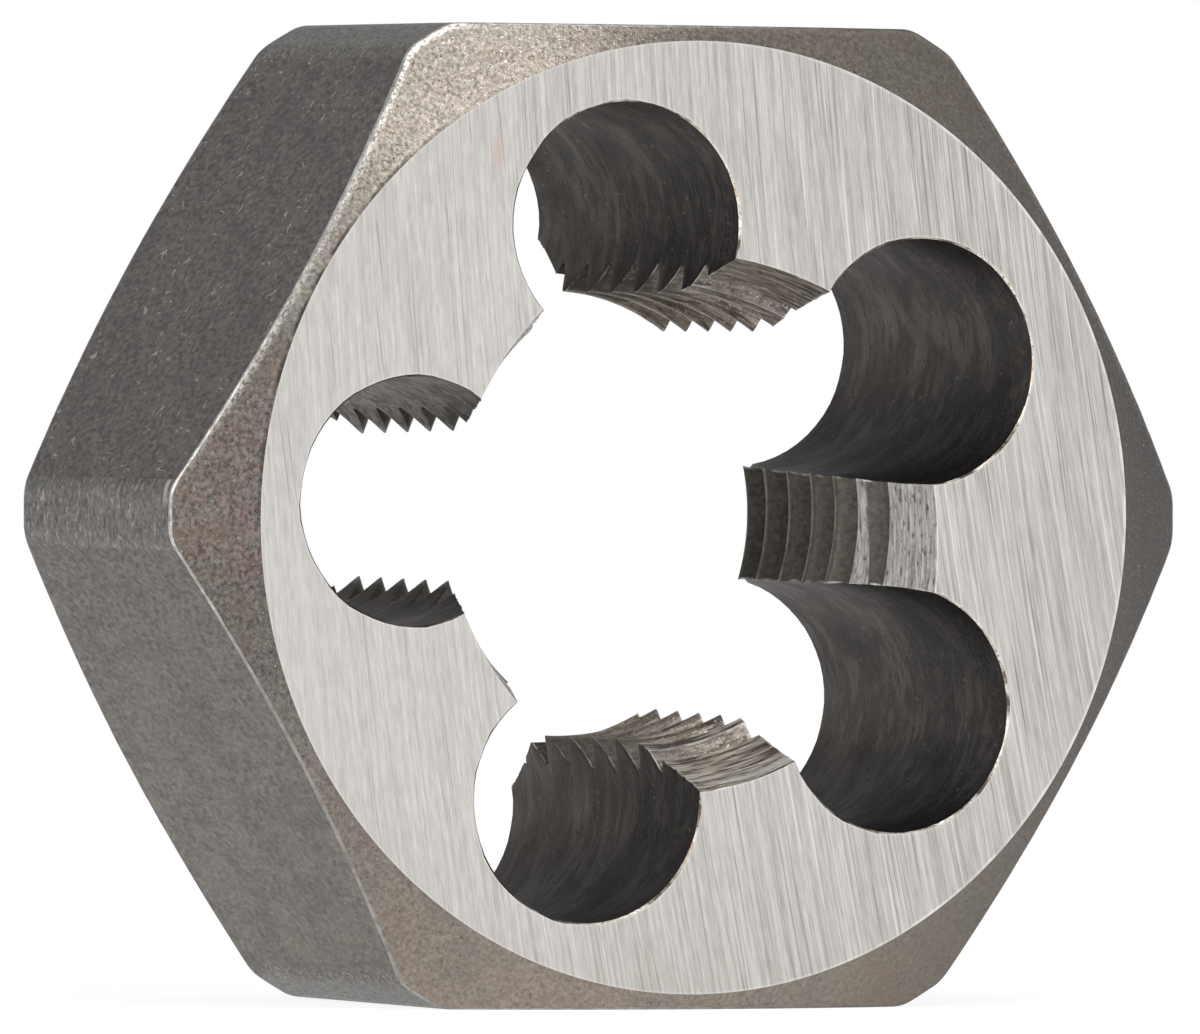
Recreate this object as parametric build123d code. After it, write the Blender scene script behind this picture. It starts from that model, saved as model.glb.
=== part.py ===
"""Hexagon threading die, one solid of tool steel.

The die is a slice of hexagon bar. Its corners are turned back to a round, both ends are
chamfered on the lathe and ground flat, a hole is bored and tapped along the axis, and five
round chip holes are drilled through beside it. The chip holes break into the tapped hole and
leave five narrow lands that carry the teeth. At each end a cone, the lead, cuts the first
teeth down so that the die starts easily on a rod.

Millimetres. The axis of the thread is Y, the front face looks along -Y, and the die stands on
one flat of its hexagon with +Z up. The origin is the middle of the block, on the thread axis.
"""
import math
import os
from build123d import *

# Hexagon block
hex_across_flats = 27.0
thickness = 12.7
corner_diameter = 30.4
corner_blend_radius = 1.2
end_chamfer_angle = 32.0
front_ground_diameter = 26.15
back_ground_diameter = 26.6

# Thread, metric form
thread_diameter = 14.0
thread_pitch = 1.5
thread_flank_angle = 30.0
first_crest_depth = 1.27

# Leads, half angle of each cone
front_lead_diameter = 14.58
front_lead_angle = 18.5
back_lead_diameter = 15.44
back_lead_angle = 30.0

# Chip holes
chip_hole_count = 5
chip_hole_diameter = 6.8
chip_circle_diameter = 16.5
chip_circle_side_offset = -0.2
first_chip_hole_angle = 32.4

# Cutters run past the surfaces that they cut by this much
overrun = 1.0

# Derived sizes
sharp_thread_height = thread_pitch / (2 * math.tan(math.radians(thread_flank_angle)))
root_radius = thread_diameter / 2
crest_radius = root_radius - sharp_thread_height * 5 / 8
pitch_radius = root_radius - sharp_thread_height * 3 / 8
thread_lead_angle = math.degrees(math.atan(thread_pitch / (2 * math.pi * pitch_radius)))
chip_hole_step = 360 / chip_hole_count


def hexagon_bar():
    """A slice of the bar, its six corners turned back to one diameter and blended."""
    outline = RegularPolygon(hex_across_flats / 2, 6, major_radius=False) & Circle(corner_diameter / 2)
    outline = fillet(outline.vertices(), corner_blend_radius)
    return extrude(outline, thickness / 2, both=True)


def chamfer_envelope():
    """A round blank with a shallow cone at each end, which meets the ground face at its rim."""
    rim = corner_diameter / 2 + overrun
    rise = math.tan(math.radians(end_chamfer_angle))
    front, back = thickness / 2, -thickness / 2
    half_section = Polyline(
        (0, back),
        (back_ground_diameter / 2, back),
        (rim, back + (rim - back_ground_diameter / 2) * rise),
        (rim, front - (rim - front_ground_diameter / 2) * rise),
        (front_ground_diameter / 2, front),
        (0, front),
        close=True,
    )
    return revolve(Plane.XZ * make_face(half_section), Axis.Z)


def lead_cutter(mouth_diameter, half_angle):
    """The cone that opens the bore at the front face, narrowing to the crests of the thread."""
    slope = math.tan(math.radians(half_angle))
    mouth_radius = mouth_diameter / 2
    face = thickness / 2
    half_section = Polyline(
        (0, face - (mouth_radius - crest_radius) / slope),
        (crest_radius, face - (mouth_radius - crest_radius) / slope),
        (mouth_radius + overrun * slope, face + overrun),
        (0, face + overrun),
        close=True,
    )
    return revolve(Plane.XZ * make_face(half_section), Axis.Z)


def chip_hole_cutters():
    """One drill for each chip hole, on a circle that lies a little to one side of the axis."""
    drill = Cylinder(chip_hole_diameter / 2, thickness + 2 * overrun)
    ring = PolarLocations(chip_circle_diameter / 2, chip_hole_count, start_angle=first_chip_hole_angle)
    side = Pos(chip_circle_side_offset, 0, 0)
    return [side * place * drill for place in ring]


def groove_cutter():
    """One thread groove over the width of a land.

    Over so short an arc the helix is a ring tilted by the lead angle, to within a micrometre.
    """
    half_root_flat = thread_pitch / 16
    inner_radius = crest_radius - sharp_thread_height / 8
    half_mouth = half_root_flat + (root_radius - inner_radius) * math.tan(math.radians(thread_flank_angle))
    section = Polyline(
        (root_radius, -half_root_flat),
        (root_radius, half_root_flat),
        (inner_radius, half_mouth),
        (inner_radius, -half_mouth),
        close=True,
    )
    arc = chip_hole_step * 0.6
    ring = revolve(Plane.XZ * make_face(section), Axis.Z, revolution_arc=arc)
    return Rot(thread_lead_angle, 0, 0) * Rot(0, 0, -arc / 2) * ring


def thread_cutters():
    """The grooves of every land, stepped along the axis as the right-hand thread climbs."""
    groove = groove_cutter()
    face = thickness / 2
    cutters = []
    for land in range(chip_hole_count):
        angle = first_chip_hole_angle + (land + 0.5) * chip_hole_step
        climb = thread_pitch * angle / 360
        top_groove = face - first_crest_depth + thread_pitch / 2 + climb
        turns_above = math.floor((top_groove - face) / thread_pitch) - 1
        for turn in range(math.ceil(thickness / thread_pitch) + 3):
            height = top_groove - (turns_above + turn) * thread_pitch
            cutters.append(Rot(0, 0, angle) * Pos(0, 0, height) * groove)
    return cutters


def die():
    """The finished die, turned so that its axis lies along Y and its front looks along -Y."""
    body = hexagon_bar() & chamfer_envelope()
    body -= Cylinder(crest_radius, thickness + 2 * overrun)
    body -= lead_cutter(front_lead_diameter, front_lead_angle)
    body -= Rot(180, 0, 0) * lead_cutter(back_lead_diameter, back_lead_angle)
    body -= chip_hole_cutters()
    body -= thread_cutters()
    return Rot(90, 0, 0) * body


os.makedirs("parts", exist_ok=True)
solid = die().solid()
export_step(solid, "parts/die_body.step")
print(f"volume {solid.volume:.1f} mm3, crest radius {crest_radius:.3f}, lead angle {thread_lead_angle:.3f}")
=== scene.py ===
# %% [markdown]
# # A hexagon threading die
#
# The real object is one piece of hardened tool steel. It was cut from hexagon bar, chamfered at
# both ends, drilled with five chip holes, tapped along its axis, hardened to a dark oxide skin,
# and last of all ground bright on its two faces and in its leads.
#
# The CAD solid gives the frame: where the faces, flats and thread are. This lesson builds a finer
# skin over the same sizes, because the look of a cutting tool sits in its edges: worn corners,
# ragged crests, the burr round each drilled hole and the tiny steps where the lead cuts the teeth.
# Everything is worked out with numpy as functions of an angle and a depth, then given materials
# made of nodes.

# %% Open the frame
import math

import bpy
import numpy as np
from mathutils import Matrix, Vector


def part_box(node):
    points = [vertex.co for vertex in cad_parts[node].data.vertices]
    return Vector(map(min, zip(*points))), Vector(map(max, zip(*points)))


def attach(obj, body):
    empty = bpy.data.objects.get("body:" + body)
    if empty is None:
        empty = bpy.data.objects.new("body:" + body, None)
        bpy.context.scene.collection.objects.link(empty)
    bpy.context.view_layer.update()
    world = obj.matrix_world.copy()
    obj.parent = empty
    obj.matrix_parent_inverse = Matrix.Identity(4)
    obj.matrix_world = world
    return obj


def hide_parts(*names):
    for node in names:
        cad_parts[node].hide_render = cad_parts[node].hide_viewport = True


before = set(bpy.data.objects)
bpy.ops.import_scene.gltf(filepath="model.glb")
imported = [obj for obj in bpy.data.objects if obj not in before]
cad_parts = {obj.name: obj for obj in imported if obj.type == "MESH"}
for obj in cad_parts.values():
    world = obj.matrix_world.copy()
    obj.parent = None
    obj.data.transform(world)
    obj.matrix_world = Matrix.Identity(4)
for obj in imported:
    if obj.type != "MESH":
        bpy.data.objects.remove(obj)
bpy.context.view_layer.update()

MM = 0.001
TAU = 2 * math.pi
low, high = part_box("die_body")
corner_diameter, thickness, across_flats = (round(side / MM, 2) for side in high - low)
print(f"across flats {across_flats} mm, corners {corner_diameter} mm, thickness {thickness} mm")

# %% [markdown]
# ## Coordinates
#
# A turned and drilled part is easiest to describe the way a lathe sees it: an angle around the
# thread axis and a depth below the front face. `place` turns those back into the row frame, where
# the axis is Y, the front face looks along -Y and +Z is up.

# %% From angle and depth to the row frame
front_y = low.y / MM
lattice_size = 64


def place(x, z, depth):
    """A point x to the right and z above the axis, at a depth below the front face, in mm."""
    x, z, depth = np.broadcast_arrays(x, z, depth)
    return np.stack([x, front_y + depth, z], axis=-1)


def lattice_noise(u, v, seed):
    """Smooth noise from -1 to 1: random values on a unit lattice, blended between the four nearest."""
    table = np.random.default_rng(seed).uniform(-1, 1, (lattice_size, lattice_size))
    u, v = np.broadcast_arrays(u, v)
    column, row = np.floor(u).astype(int), np.floor(v).astype(int)
    across, along = u - column, v - row
    across, along = across * across * (3 - 2 * across), along * along * (3 - 2 * along)
    left, right = column % lattice_size, (column + 1) % lattice_size
    lower, upper = row % lattice_size, (row + 1) % lattice_size
    below = table[left, lower] * (1 - across) + table[right, lower] * across
    above = table[left, upper] * (1 - across) + table[right, upper] * across
    return below * (1 - along) + above * along


def turn_between(start, end):
    """The turn from one angle to another by the shorter way, so at most half a turn."""
    return (end - start + math.pi) % TAU - math.pi


print(f"front face at y = {front_y:.2f} mm, back face at y = {front_y + thickness:.2f} mm")

# %% [markdown]
# ## The chip holes
#
# Five drilled holes break into the tapped hole, which leaves five narrow lands with teeth. A drill
# in a jig wanders, so each hole starts up to a tenth of a millimetre off its mark and leans a
# little on its way through. Those small errors are what keeps the openings from looking stamped
# out by a computer, so each hole has its own stray and lean, measured on the photograph to the
# nearest twentieth of a millimetre.
#
# `land_edge` finds where the wall of a hole crosses a given radius. That is a triangle with three
# known sides: axis to hole, hole to wall, and axis to wall.

# %% Where each chip hole lies, and where it meets the bore
chip_hole_count = 5
chip_hole_radius = 6.8 / 2
chip_circle_radius = 16.5 / 2
chip_circle_offset = -0.2
first_chip_hole = math.radians(32.4)
chip_hole_step = TAU / chip_hole_count
drill_stray = [(0.0, -0.10), (0.05, 0.0), (-0.05, -0.10), (0.0, -0.05), (-0.05, 0.0)]
drill_lean = [(0.20, 0.40), (-0.30, 0.05), (-0.20, -0.15), (0.10, -0.50), (0.35, 0.05)]


def hole_centre(hole, depth):
    """Centre of a chip hole at a depth: its place on the circle, its stray, and its lean by depth."""
    angle = first_chip_hole + hole * chip_hole_step
    stray, lean = drill_stray[hole % chip_hole_count], drill_lean[hole % chip_hole_count]
    share = depth / thickness
    x = chip_circle_offset + chip_circle_radius * math.cos(angle) + stray[0] + lean[0] * share
    z = chip_circle_radius * math.sin(angle) + stray[1] + lean[1] * share
    return x, z


def land_edge(hole, side, radius, depth):
    """Angle around the axis at which a hole's wall reaches a radius, before it (side -1) or after it (1)."""
    x, z = hole_centre(hole, depth)
    nominal = first_chip_hole + hole * chip_hole_step
    towards = nominal + turn_between(nominal, np.arctan2(z, x))
    reach = np.hypot(x, z)
    cosine = (reach**2 + radius**2 - chip_hole_radius**2) / (2 * reach * radius)
    return towards + side * np.arccos(cosine)


print(f"{chip_hole_count} chip holes of {2 * chip_hole_radius} mm, "
      f"{math.degrees(chip_hole_step):.0f} degrees apart")

# %% [markdown]
# ## The tapped hole
#
# Cut the thread along its axis and the section is a row of teeth. Rather than sweep that section
# along a helix, which makes a heavy mesh with a seam at each turn, the radius is written as a
# function of angle and depth. A right-hand thread comes a pitch nearer to the front for each full
# turn to the left, so the depth of a crest falls evenly with the angle.
#
# A drawing gives the teeth flat crests, but a tap leaves them round. A hyperbola does that with
# one formula: far from the crest it runs along the 60 degree flank, and at the crest it turns over.
#
# At each face a cone, the lead, is ground into the teeth. The front one is relief ground. Each
# land cuts with its left end, and behind that the lead falls away from the work. The surface that
# is left is whichever of the three, thread, front lead or back lead, lies further out.

# %% Radius of the bore at any angle and depth
thread_pitch = 1.5
root_radius = 14.0 / 2
flank_slope = math.sqrt(3)
crest_radius = root_radius - thread_pitch * flank_slope / 2 * 5 / 8
crest_rounding = 0.23
first_crest_depth = 1.27
front_lead_radius, front_lead_slope = 14.58 / 2, math.tan(math.radians(20))
back_lead_radius, back_lead_slope = 15.44 / 2, math.tan(math.radians(30))
lead_off_centre = (-0.04, -0.085)
lead_relief = np.array([0.19, 0.12, 0.12, 0.14, 0.24])
relief_depth = 9.0
land_start, land_end = 0.34, 0.65


def thread_radius(around, depth):
    """Crest plus slope times (length of (way from the crest, rounding) less rounding), up to the root."""
    crest = first_crest_depth - thread_pitch * around / TAU
    beside = np.abs((depth - crest + thread_pitch / 2) % thread_pitch - thread_pitch / 2)
    tooth = crest_radius + flank_slope * (np.hypot(beside, crest_rounding) - crest_rounding)
    return np.minimum(tooth, root_radius)


def relief_ground(around, depth):
    """How far the front lead falls away: relief times (way to the cutting end) squared, less deep in."""
    turns = (around - first_chip_hole) / chip_hole_step
    share = ((turns % 1 - land_start) / (land_end - land_start)).clip(0, 1)
    relief = lead_relief[np.floor(turns).astype(int) % chip_hole_count]
    return relief * (1 - share)**2 * (1 - depth / relief_depth).clip(0)


def lead_radius(around, depth):
    """Two cones that narrow from the faces. The front one is off the thread's axis, and relief ground."""
    off_centre = lead_off_centre[0] * np.cos(around) + lead_off_centre[1] * np.sin(around)
    front = front_lead_radius - depth * front_lead_slope + off_centre + relief_ground(around, depth)
    back = back_lead_radius - (thickness - depth) * back_lead_slope
    return np.maximum(front, back)


def bore_radius(around, depth):
    return np.maximum(thread_radius(around, depth), lead_radius(around, depth))


land_width = land_edge(1, -1, crest_radius, 0) - land_edge(0, 1, crest_radius, 0)
print(f"crests at {crest_radius:.3f} mm, roots at {root_radius:.3f} mm, "
      f"a land is {land_width * crest_radius:.2f} mm wide")

# %% [markdown]
# ## Rows that follow the thread
#
# A grid whose rows run straight around would cross each crest at a shallow angle and leave it
# jagged. Here the rows climb with the thread instead, close together over a crest and wider apart
# on the straight flanks. The lead cuts across the teeth at its own slope, so wherever it crosses a
# flank the nearer of the two rows around that place is moved onto it. The first two turns have
# twice as many rows, for the ridges that grinding left in the leads.
#
# Angle and depth depend on each other: a row's depth falls with its angle, and a land is wider
# where its radius is larger. Both are worked out in turn until they settle, which takes a few
# rounds over whole arrays.

# %% Depths of the rows on one land
crest_band = 0.3
root_band = math.sqrt(((root_radius - crest_radius) / flank_slope + crest_rounding)**2 - crest_rounding**2)
pitch_stations = np.concatenate([
    np.linspace(-crest_band, crest_band, 8, endpoint=False),
    np.linspace(crest_band, root_band, 5, endpoint=False),
    np.linspace(root_band, thread_pitch - root_band, 2, endpoint=False),
    np.linspace(thread_pitch - root_band, thread_pitch - crest_band, 5, endpoint=False),
])
turn_count = math.ceil(thickness / thread_pitch) + 1
stations = (np.arange(turn_count)[:, None] * thread_pitch + pitch_stations).ravel()
lead_stations = stations[:2 * len(pitch_stations) + 1]
stations = np.sort(np.concatenate([stations, (lead_stations[1:] + lead_stations[:-1]) / 2]))
settling_rounds = 5


def land_angle(land, share, radius, depth):
    """Angle at a share of the way over a land, from the wall of one chip hole to the next."""
    start = land_edge(land, 1, radius, depth)
    end = land_edge(land + 1, -1, radius, depth)
    return start + share * (end - start)


def land_rows(land, share):
    """Depth of every row at each share of a land: the thread's stations, moved onto the lead's crossings."""
    middle = first_chip_hole + (land + 0.5) * chip_hole_step
    top = (first_crest_depth - thread_pitch * middle / TAU) % thread_pitch - thread_pitch
    around = np.full((len(stations), len(share)), middle)
    for _ in range(settling_rounds):
        depth = top + stations[:, None] - thread_pitch * (around - middle) / TAU
        around = land_angle(land, share, bore_radius(around, depth), depth)
    excess = lead_radius(around, depth) - thread_radius(around, depth)
    here, after = excess[:-1], excess[1:]
    crosses = here * after < 0
    share_down = here / np.where(crosses, here - after, 1)
    step = np.diff(depth, axis=0)
    moved = depth.copy()
    moved[:-1] += np.where(crosses & (share_down <= 0.5), share_down, 0) * step
    moved[1:] += np.where(crosses & (share_down > 0.5), share_down - 1, 0) * step
    return moved


print(f"{len(stations)} rows of thread over {turn_count} turns")

# %% [markdown]
# ## The wall of the hole, land by land
#
# The wall is a ring of columns: five lands and five chip holes in turn. A land's columns run from
# one hole to the next. A hole's columns run round the drilled wall, and each row is carried over
# from the teeth on its one side to the teeth on its other, so the notches of the thread meet the
# wall point for point.
#
# Real metal isn't perfect. The drill leaves faint rings, the tap leaves its crests a little torn,
# and the grinding of the leads left ridges, boldest on the bottom land. Noise of a few micrometres
# in the radius gives all of that real relief, stretched along the way the tool moved. The corners
# of a lead carry a ragged burr, so columns stand closer together at both ends of a land.

# %% Points of the wall
land_columns, hole_columns = 20, 36
rim_on_land, rim_on_hole = 0.015, 0.045
ridge_height = [0.010, 0.004, 0.008, 0.030, 0.008]
burr_height, tear_height, ring_height = 0.035, 0.005, 0.006
land_share = (1 - np.cos(np.linspace(0, math.pi, land_columns + 1))) / 2
hole_share = np.linspace(0, 1, hole_columns + 1)[1:-1]


def land_block(land):
    """One land: its points, the way out into the metal at both faces, and its rim widths."""
    rim = np.full(land_columns + 1, rim_on_land)
    depth = land_rows(land, land_share).clip(rim, thickness - rim)
    around = land_angle(land, land_share, crest_radius, depth)
    for _ in range(settling_rounds):
        radius = bore_radius(around, depth)
        around = land_angle(land, land_share, radius, depth)
    lead = lead_radius(around, depth) - thread_radius(around, depth)
    along = around * radius
    tearing = tear_height * lattice_noise(along / 0.5, depth / 0.09, 11 + land)
    ridges = ridge_height[land] * lattice_noise(along / 3.5, (depth + 0.03 * along) / 0.16, 21 + land)
    burr = burr_height * lattice_noise(depth / 0.07, land + 0.5 * land_share, 31).clip(0)
    radius = radius + np.where(lead > 0, ridges, tearing)
    radius[:, [0, -1]] -= np.where(lead > 0, burr, 0)[:, [0, -1]]
    beside = radius * np.minimum(around - around[:, :1], around[:, -1:] - around)
    return dict(x=radius * np.cos(around), z=radius * np.sin(around), depth=depth, rim=rim,
                away=np.stack([np.cos(around), np.sin(around)], -1)[[0, -1]],
                beside=beside, lead=lead, up=np.zeros_like(depth))


def hole_block(hole, before, after):
    """The wall of one chip hole between two lands, with the rings that its drill left."""
    nominal = first_chip_hole + hole * chip_hole_step

    def corner(block, column):
        """Direction of a land's corner from the hole's centre, measured from straight outwards."""
        x, z = hole_centre(hole, block["depth"][:, column])
        turned = np.arctan2(block["z"][:, column] - z, block["x"][:, column] - x)
        return turn_between(nominal, turned)[:, None]

    share = hole_share
    rim = rim_on_hole * (1 + 0.6 * lattice_noise(share * 24, hole, 35))
    depth = before["depth"][:, -1:] * (1 - share) + after["depth"][:, :1] * share
    depth = depth.clip(rim, thickness - rim)
    turned = nominal + corner(before, -1) * (1 - share) + corner(after, 0) * share
    patchy = lattice_noise(turned * 1.6, depth / 2.5, 46 + hole).clip(0)
    rings = ring_height * patchy * lattice_noise(turned * 2, (depth + 0.05 * turned) / 0.17, 41 + hole)
    beside = chip_hole_radius * (corner(after, 0) - corner(before, -1)) * np.minimum(share, 1 - share)
    radius = chip_hole_radius + rings * np.minimum(1, beside / 0.5)
    x, z = hole_centre(hole, depth)
    return dict(x=x + radius * np.cos(turned), z=z + radius * np.sin(turned), depth=depth, rim=rim,
                away=np.stack([np.cos(turned), np.sin(turned)], -1)[[0, -1]],
                beside=beside, lead=np.zeros_like(depth), up=np.sin(turned))


lands = [land_block(land) for land in range(chip_hole_count)]
holes = [hole_block(hole, lands[hole - 1], lands[hole]) for hole in range(chip_hole_count)]
row_count = len(lands[0]["depth"])
print(f"{row_count} rows by {chip_hole_count * (land_columns + hole_columns)} columns of wall")

# %% [markdown]
# ## From blocks to one ring of columns
#
# Side by side, the ten blocks make one closed ring of columns around the bore. Two more rows
# finish the sharp edges: at each face the wall stops a few hundredths of a millimetre short, and
# a last row steps out into the metal. That narrow slope is the broken edge or burr, the bright
# line that a real drilled and ground edge always shows.
#
# At a corner, where a land meets a hole, the way out is the mitre of the two walls, so both
# slopes stay equally wide. The mitre leads sideways too, and that part of it fades evenly over the
# land, so that no column crosses its neighbour.

# %% Join the blocks
blocks = [block for pair in zip(holes, lands) for block in pair]


def joined(name):
    return np.concatenate([block[name] for block in blocks], axis=-1)


def mitre(first, second):
    """The vector that moves both of two walls, given by their unit normals, outwards by one."""
    return (first + second) / (1 + np.sum(first * second, axis=-1, keepdims=True))


def land_corners(land):
    """The ways out at both faces for a whole land, drawn towards the mitres with the holes at its ends."""
    away = lands[land]["away"].copy()
    for column, hole, weight in ((0, land, 1 - land_share), (-1, land + 1, land_share)):
        x, z = hole_centre(hole, lands[land]["depth"][[0, -1], column])
        wall = np.stack([lands[land]["x"][[0, -1], column] - x, lands[land]["z"][[0, -1], column] - z], -1)
        wall = wall / np.linalg.norm(wall, axis=-1, keepdims=True)
        radial = lands[land]["away"][:, column]
        away += weight[:, None] * (mitre(radial, wall) - radial)[:, None]
    return away


wall_x, wall_z, wall_depth = joined("x"), joined("z"), joined("depth")
rim = joined("rim")
away = np.concatenate([part for k in range(chip_hole_count)
                       for part in (holes[k]["away"], land_corners(k))], axis=1)
on_land = np.tile(np.repeat([False, True], [len(hole_share), len(land_share)]), chip_hole_count)
column_count = len(rim)
print(f"{column_count} columns, {on_land.sum()} of them on lands")

# %% [markdown]
# ## The ground faces
#
# Each face is a flat ring with a ragged inner edge and a round outer one. It needs no detail of
# its own, as the grinding lines are far finer than a mesh can hold, but its triangles should run
# cleanly from rim to rim. Straight lines are ruled from every column of the wall to a circle just
# inside the outer edge, fanned out a little around the holes so that none of them crosses one.

# %% Rings of the front and back face
front_ground_radius, back_ground_radius = 26.15 / 2, 26.6 / 2
rim_band = 0.12
fan_half_angle = math.radians(29.5)
ring_gap = 0.3
ruling = np.array([0.25, 0.5, 0.75, 1.0])


def fan_angles():
    """For each column, its angle on the outer circle: even steps over each hole and each land."""
    parts = []
    for k in range(chip_hole_count):
        centre = first_chip_hole + k * chip_hole_step
        parts.append(centre + fan_half_angle * (2 * hole_share - 1))
        parts.append(centre + fan_half_angle + land_share * (chip_hole_step - 2 * fan_half_angle))
    return np.concatenate(parts)


def face_rings(end, ground_radius):
    """Rings of points on a face: the rim, a narrow band beside it, then ruled lines to the outer circle."""
    depth = 0.0 if end == 0 else thickness
    edge = np.stack([wall_x[end], wall_z[end]], -1)
    band = [edge + (rim + offset)[:, None] * away[end] for offset in (0.0, rim_band)]
    outer = np.stack([np.cos(fan), np.sin(fan)], -1) * (ground_radius - ring_gap)
    ruled = [band[1] + share * (outer - band[1]) for share in ruling]
    rings = np.stack(band + ruled)
    return place(rings[..., 0], rings[..., 1], depth)


fan = fan_angles()
front_rings, back_rings = face_rings(0, front_ground_radius), face_rings(-1, back_ground_radius)
print(f"{len(front_rings)} rings on each ground face")

# %% [markdown]
# ## The outside of the block
#
# The hexagon is a slice of bar with its corners turned back. Seen along the axis its outline has
# three parts in each sixth: a flat, a small blend and a piece of the turned circle, and each has
# a formula for the radius at an angle. Columns stand closer together where the outline bends.
#
# Down its length each column has the same profile: out over the chamfer cone, round the worn
# edge, straight down the flat, round the back edge and in again. The worn edge is a curve with
# three control points whose size changes along the edge, as it does on a tool that has been
# tumbled and handled.

# %% Outline and profile of the outside
corner_blend = 1.2
chamfer_slope = math.tan(math.radians(32))
flat_radius, corner_radius = across_flats / 2, corner_diameter / 2
blend_reach = corner_radius - corner_blend
blend_angle = math.acos((flat_radius - corner_blend) / blend_reach)
flat_end = math.atan2(blend_reach * math.sin(blend_angle), flat_radius)
sector_steps = [(-flat_end, flat_end, 40), (flat_end, blend_angle, 8),
                (blend_angle, TAU / 6 - blend_angle, 6), (TAU / 6 - blend_angle, TAU / 6 - flat_end, 8)]
sector = np.concatenate([np.linspace(a, b, steps, endpoint=False) for a, b, steps in sector_steps])
outer_angle = (np.arange(6)[:, None] * TAU / 6 + TAU / 12 + sector).ravel()


def outline_radius(around):
    """Radius of the outline: a flat, which is a constant over a cosine, the blend's circle, the corner."""
    turned = np.abs(around % (TAU / 6) - TAU / 12)
    beside = turned - blend_angle
    across = (blend_reach * np.sin(beside)).clip(-corner_blend, corner_blend)
    blend = blend_reach * np.cos(beside) + np.sqrt(corner_blend**2 - across**2)
    flat = flat_radius / np.cos(turned)
    return np.where(turned < flat_end, flat, np.where(turned < blend_angle, blend, corner_radius))


print(f"flats end {math.degrees(flat_end):.1f} degrees from their middle, {len(outer_angle)} columns outside")

# %% [markdown]
# ## Worn edges
#
# Where the chamfer cone meets a flat the metal came out sharp, and then wore. `wear_width` says
# how far the wear reaches from the old corner, and it changes along the edge. Each column of the
# profile is a chain of stretches: cone, curve, flat, curve, cone. The curve is the one with two
# ends on the surfaces and one pull at the lost corner.

# %% Columns of the outside
cone_shares = np.array([0, 0.02, 0.12, 0.35, 0.65, 0.88, 1.0])
curve_shares = np.linspace(0, 1, 5)
side_shares = np.array([0, 0.015, 0.06, 0.2, 0.4, 0.6, 0.8, 0.94, 0.985, 1.0])
usual_wear, wear_change = 0.065, 0.022


def wear_width(around, seed):
    """How far the worn edge reaches from the lost corner: a base width, changed by two sizes of noise."""
    broad = lattice_noise(around * 3, 0.5, seed)
    fine = lattice_noise(around * 45, 0.5, seed + 1)
    return usual_wear + wear_change * (broad + fine)


def blend_rows(start, end, shares):
    """Rows on straight lines from one row of points to another."""
    return start + shares[:, None, None] * (end - start)


def curve_rows(start, pull, end, shares):
    """Rows on a curve from start to end that is drawn towards a third row of points."""
    shares = shares[:, None, None]
    return (1 - shares)**2 * start + 2 * shares * (1 - shares) * pull + shares**2 * end


def end_profile(ground_radius, seed):
    """One end of the block, as radius and depth from its own face: the cone's rows, then the curve's."""
    outline = outline_radius(outer_angle)
    wear = wear_width(outer_angle, seed)
    corner = np.stack([outline, (outline - ground_radius) * chamfer_slope], -1)
    along_cone = np.array([1, chamfer_slope]) / math.hypot(1, chamfer_slope)
    face_edge = np.stack([np.full_like(outline, ground_radius), np.zeros_like(outline)], -1)
    cone_end = corner - wear[:, None] * along_cone
    side_start = corner + wear[:, None] * np.array([0.0, 1.0])
    cone = blend_rows(face_edge, cone_end, cone_shares)
    return cone, curve_rows(cone_end, corner, side_start, curve_shares)[1:]


front_cone, front_curve = end_profile(front_ground_radius, 51)
back_cone, back_curve = end_profile(back_ground_radius, 61)
back_half = np.concatenate([back_cone, back_curve])[::-1]
mirrored = np.array([1.0, -1.0]) * back_half + np.array([0.0, thickness])
side = blend_rows(front_curve[-1], mirrored[0], side_shares)[1:-1]
profile = np.concatenate([front_cone, front_curve, side, mirrored])
outside, outside_depth = profile[..., 0], profile[..., 1]
outer_points = place(outside * np.cos(outer_angle), outside * np.sin(outer_angle), outside_depth)
print(f"{len(outer_points)} rows outside, worn edges {wear_width(outer_angle, 51).min():.2f} to "
      f"{wear_width(outer_angle, 51).max():.2f} mm")

# %% [markdown]
# ## One closed surface
#
# Two grids make the whole die. The inner one runs from the front face down the wall of the hole
# and out over the back face. The outer one runs over the chamfers and flats. At each face their
# last rings have different numbers of points, so a band of triangles zips them together.
#
# Rows that ran past a face were all pressed onto its rim. They are merged by their place in the
# grid, never by distance, so nothing is left open and no sliver is left behind.

# %% Grids, and the zip between them
nearly = 1e-9


def row_used(depth):
    """For each place in the wall's grid the row it uses: rows past a face use the last one before it."""
    first = np.sum(depth <= rim + nearly, axis=0) - 1
    last = len(depth) - np.sum(depth >= thickness - rim - nearly, axis=0)
    assert first.min() >= 0 and last.max() < len(depth)
    return np.clip(np.arange(len(depth))[:, None], first, last)


def ring_quads(ids):
    """Corners of each quad of a grid that is closed sideways. They turn to face the axis."""
    beside = np.roll(ids, -1, axis=1)
    return np.stack([ids[:-1], beside[:-1], beside[1:], ids[1:]], -1)


def zip_rings(inner_ids, inner_angle, outer_ids, outer_angle):
    """Triangles between two rings: walking round both by angle, each new point joins the last two."""
    angle = np.concatenate([inner_angle % TAU, outer_angle % TAU])
    order = np.argsort(angle, kind="stable")
    place_in_order = np.arange(len(order))
    is_inner = order < len(inner_ids)
    ids = np.concatenate([inner_ids, outer_ids])[order]
    last_inner = np.maximum.accumulate(np.where(is_inner, place_in_order, -1))
    last_outer = np.maximum.accumulate(np.where(is_inner, -1, place_in_order))
    last_inner[last_inner < 0], last_outer[last_outer < 0] = last_inner[-1], last_outer[-1]
    return np.stack([ids[np.roll(last_inner, 1)], ids[np.roll(last_outer, 1)], ids], -1)


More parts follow.
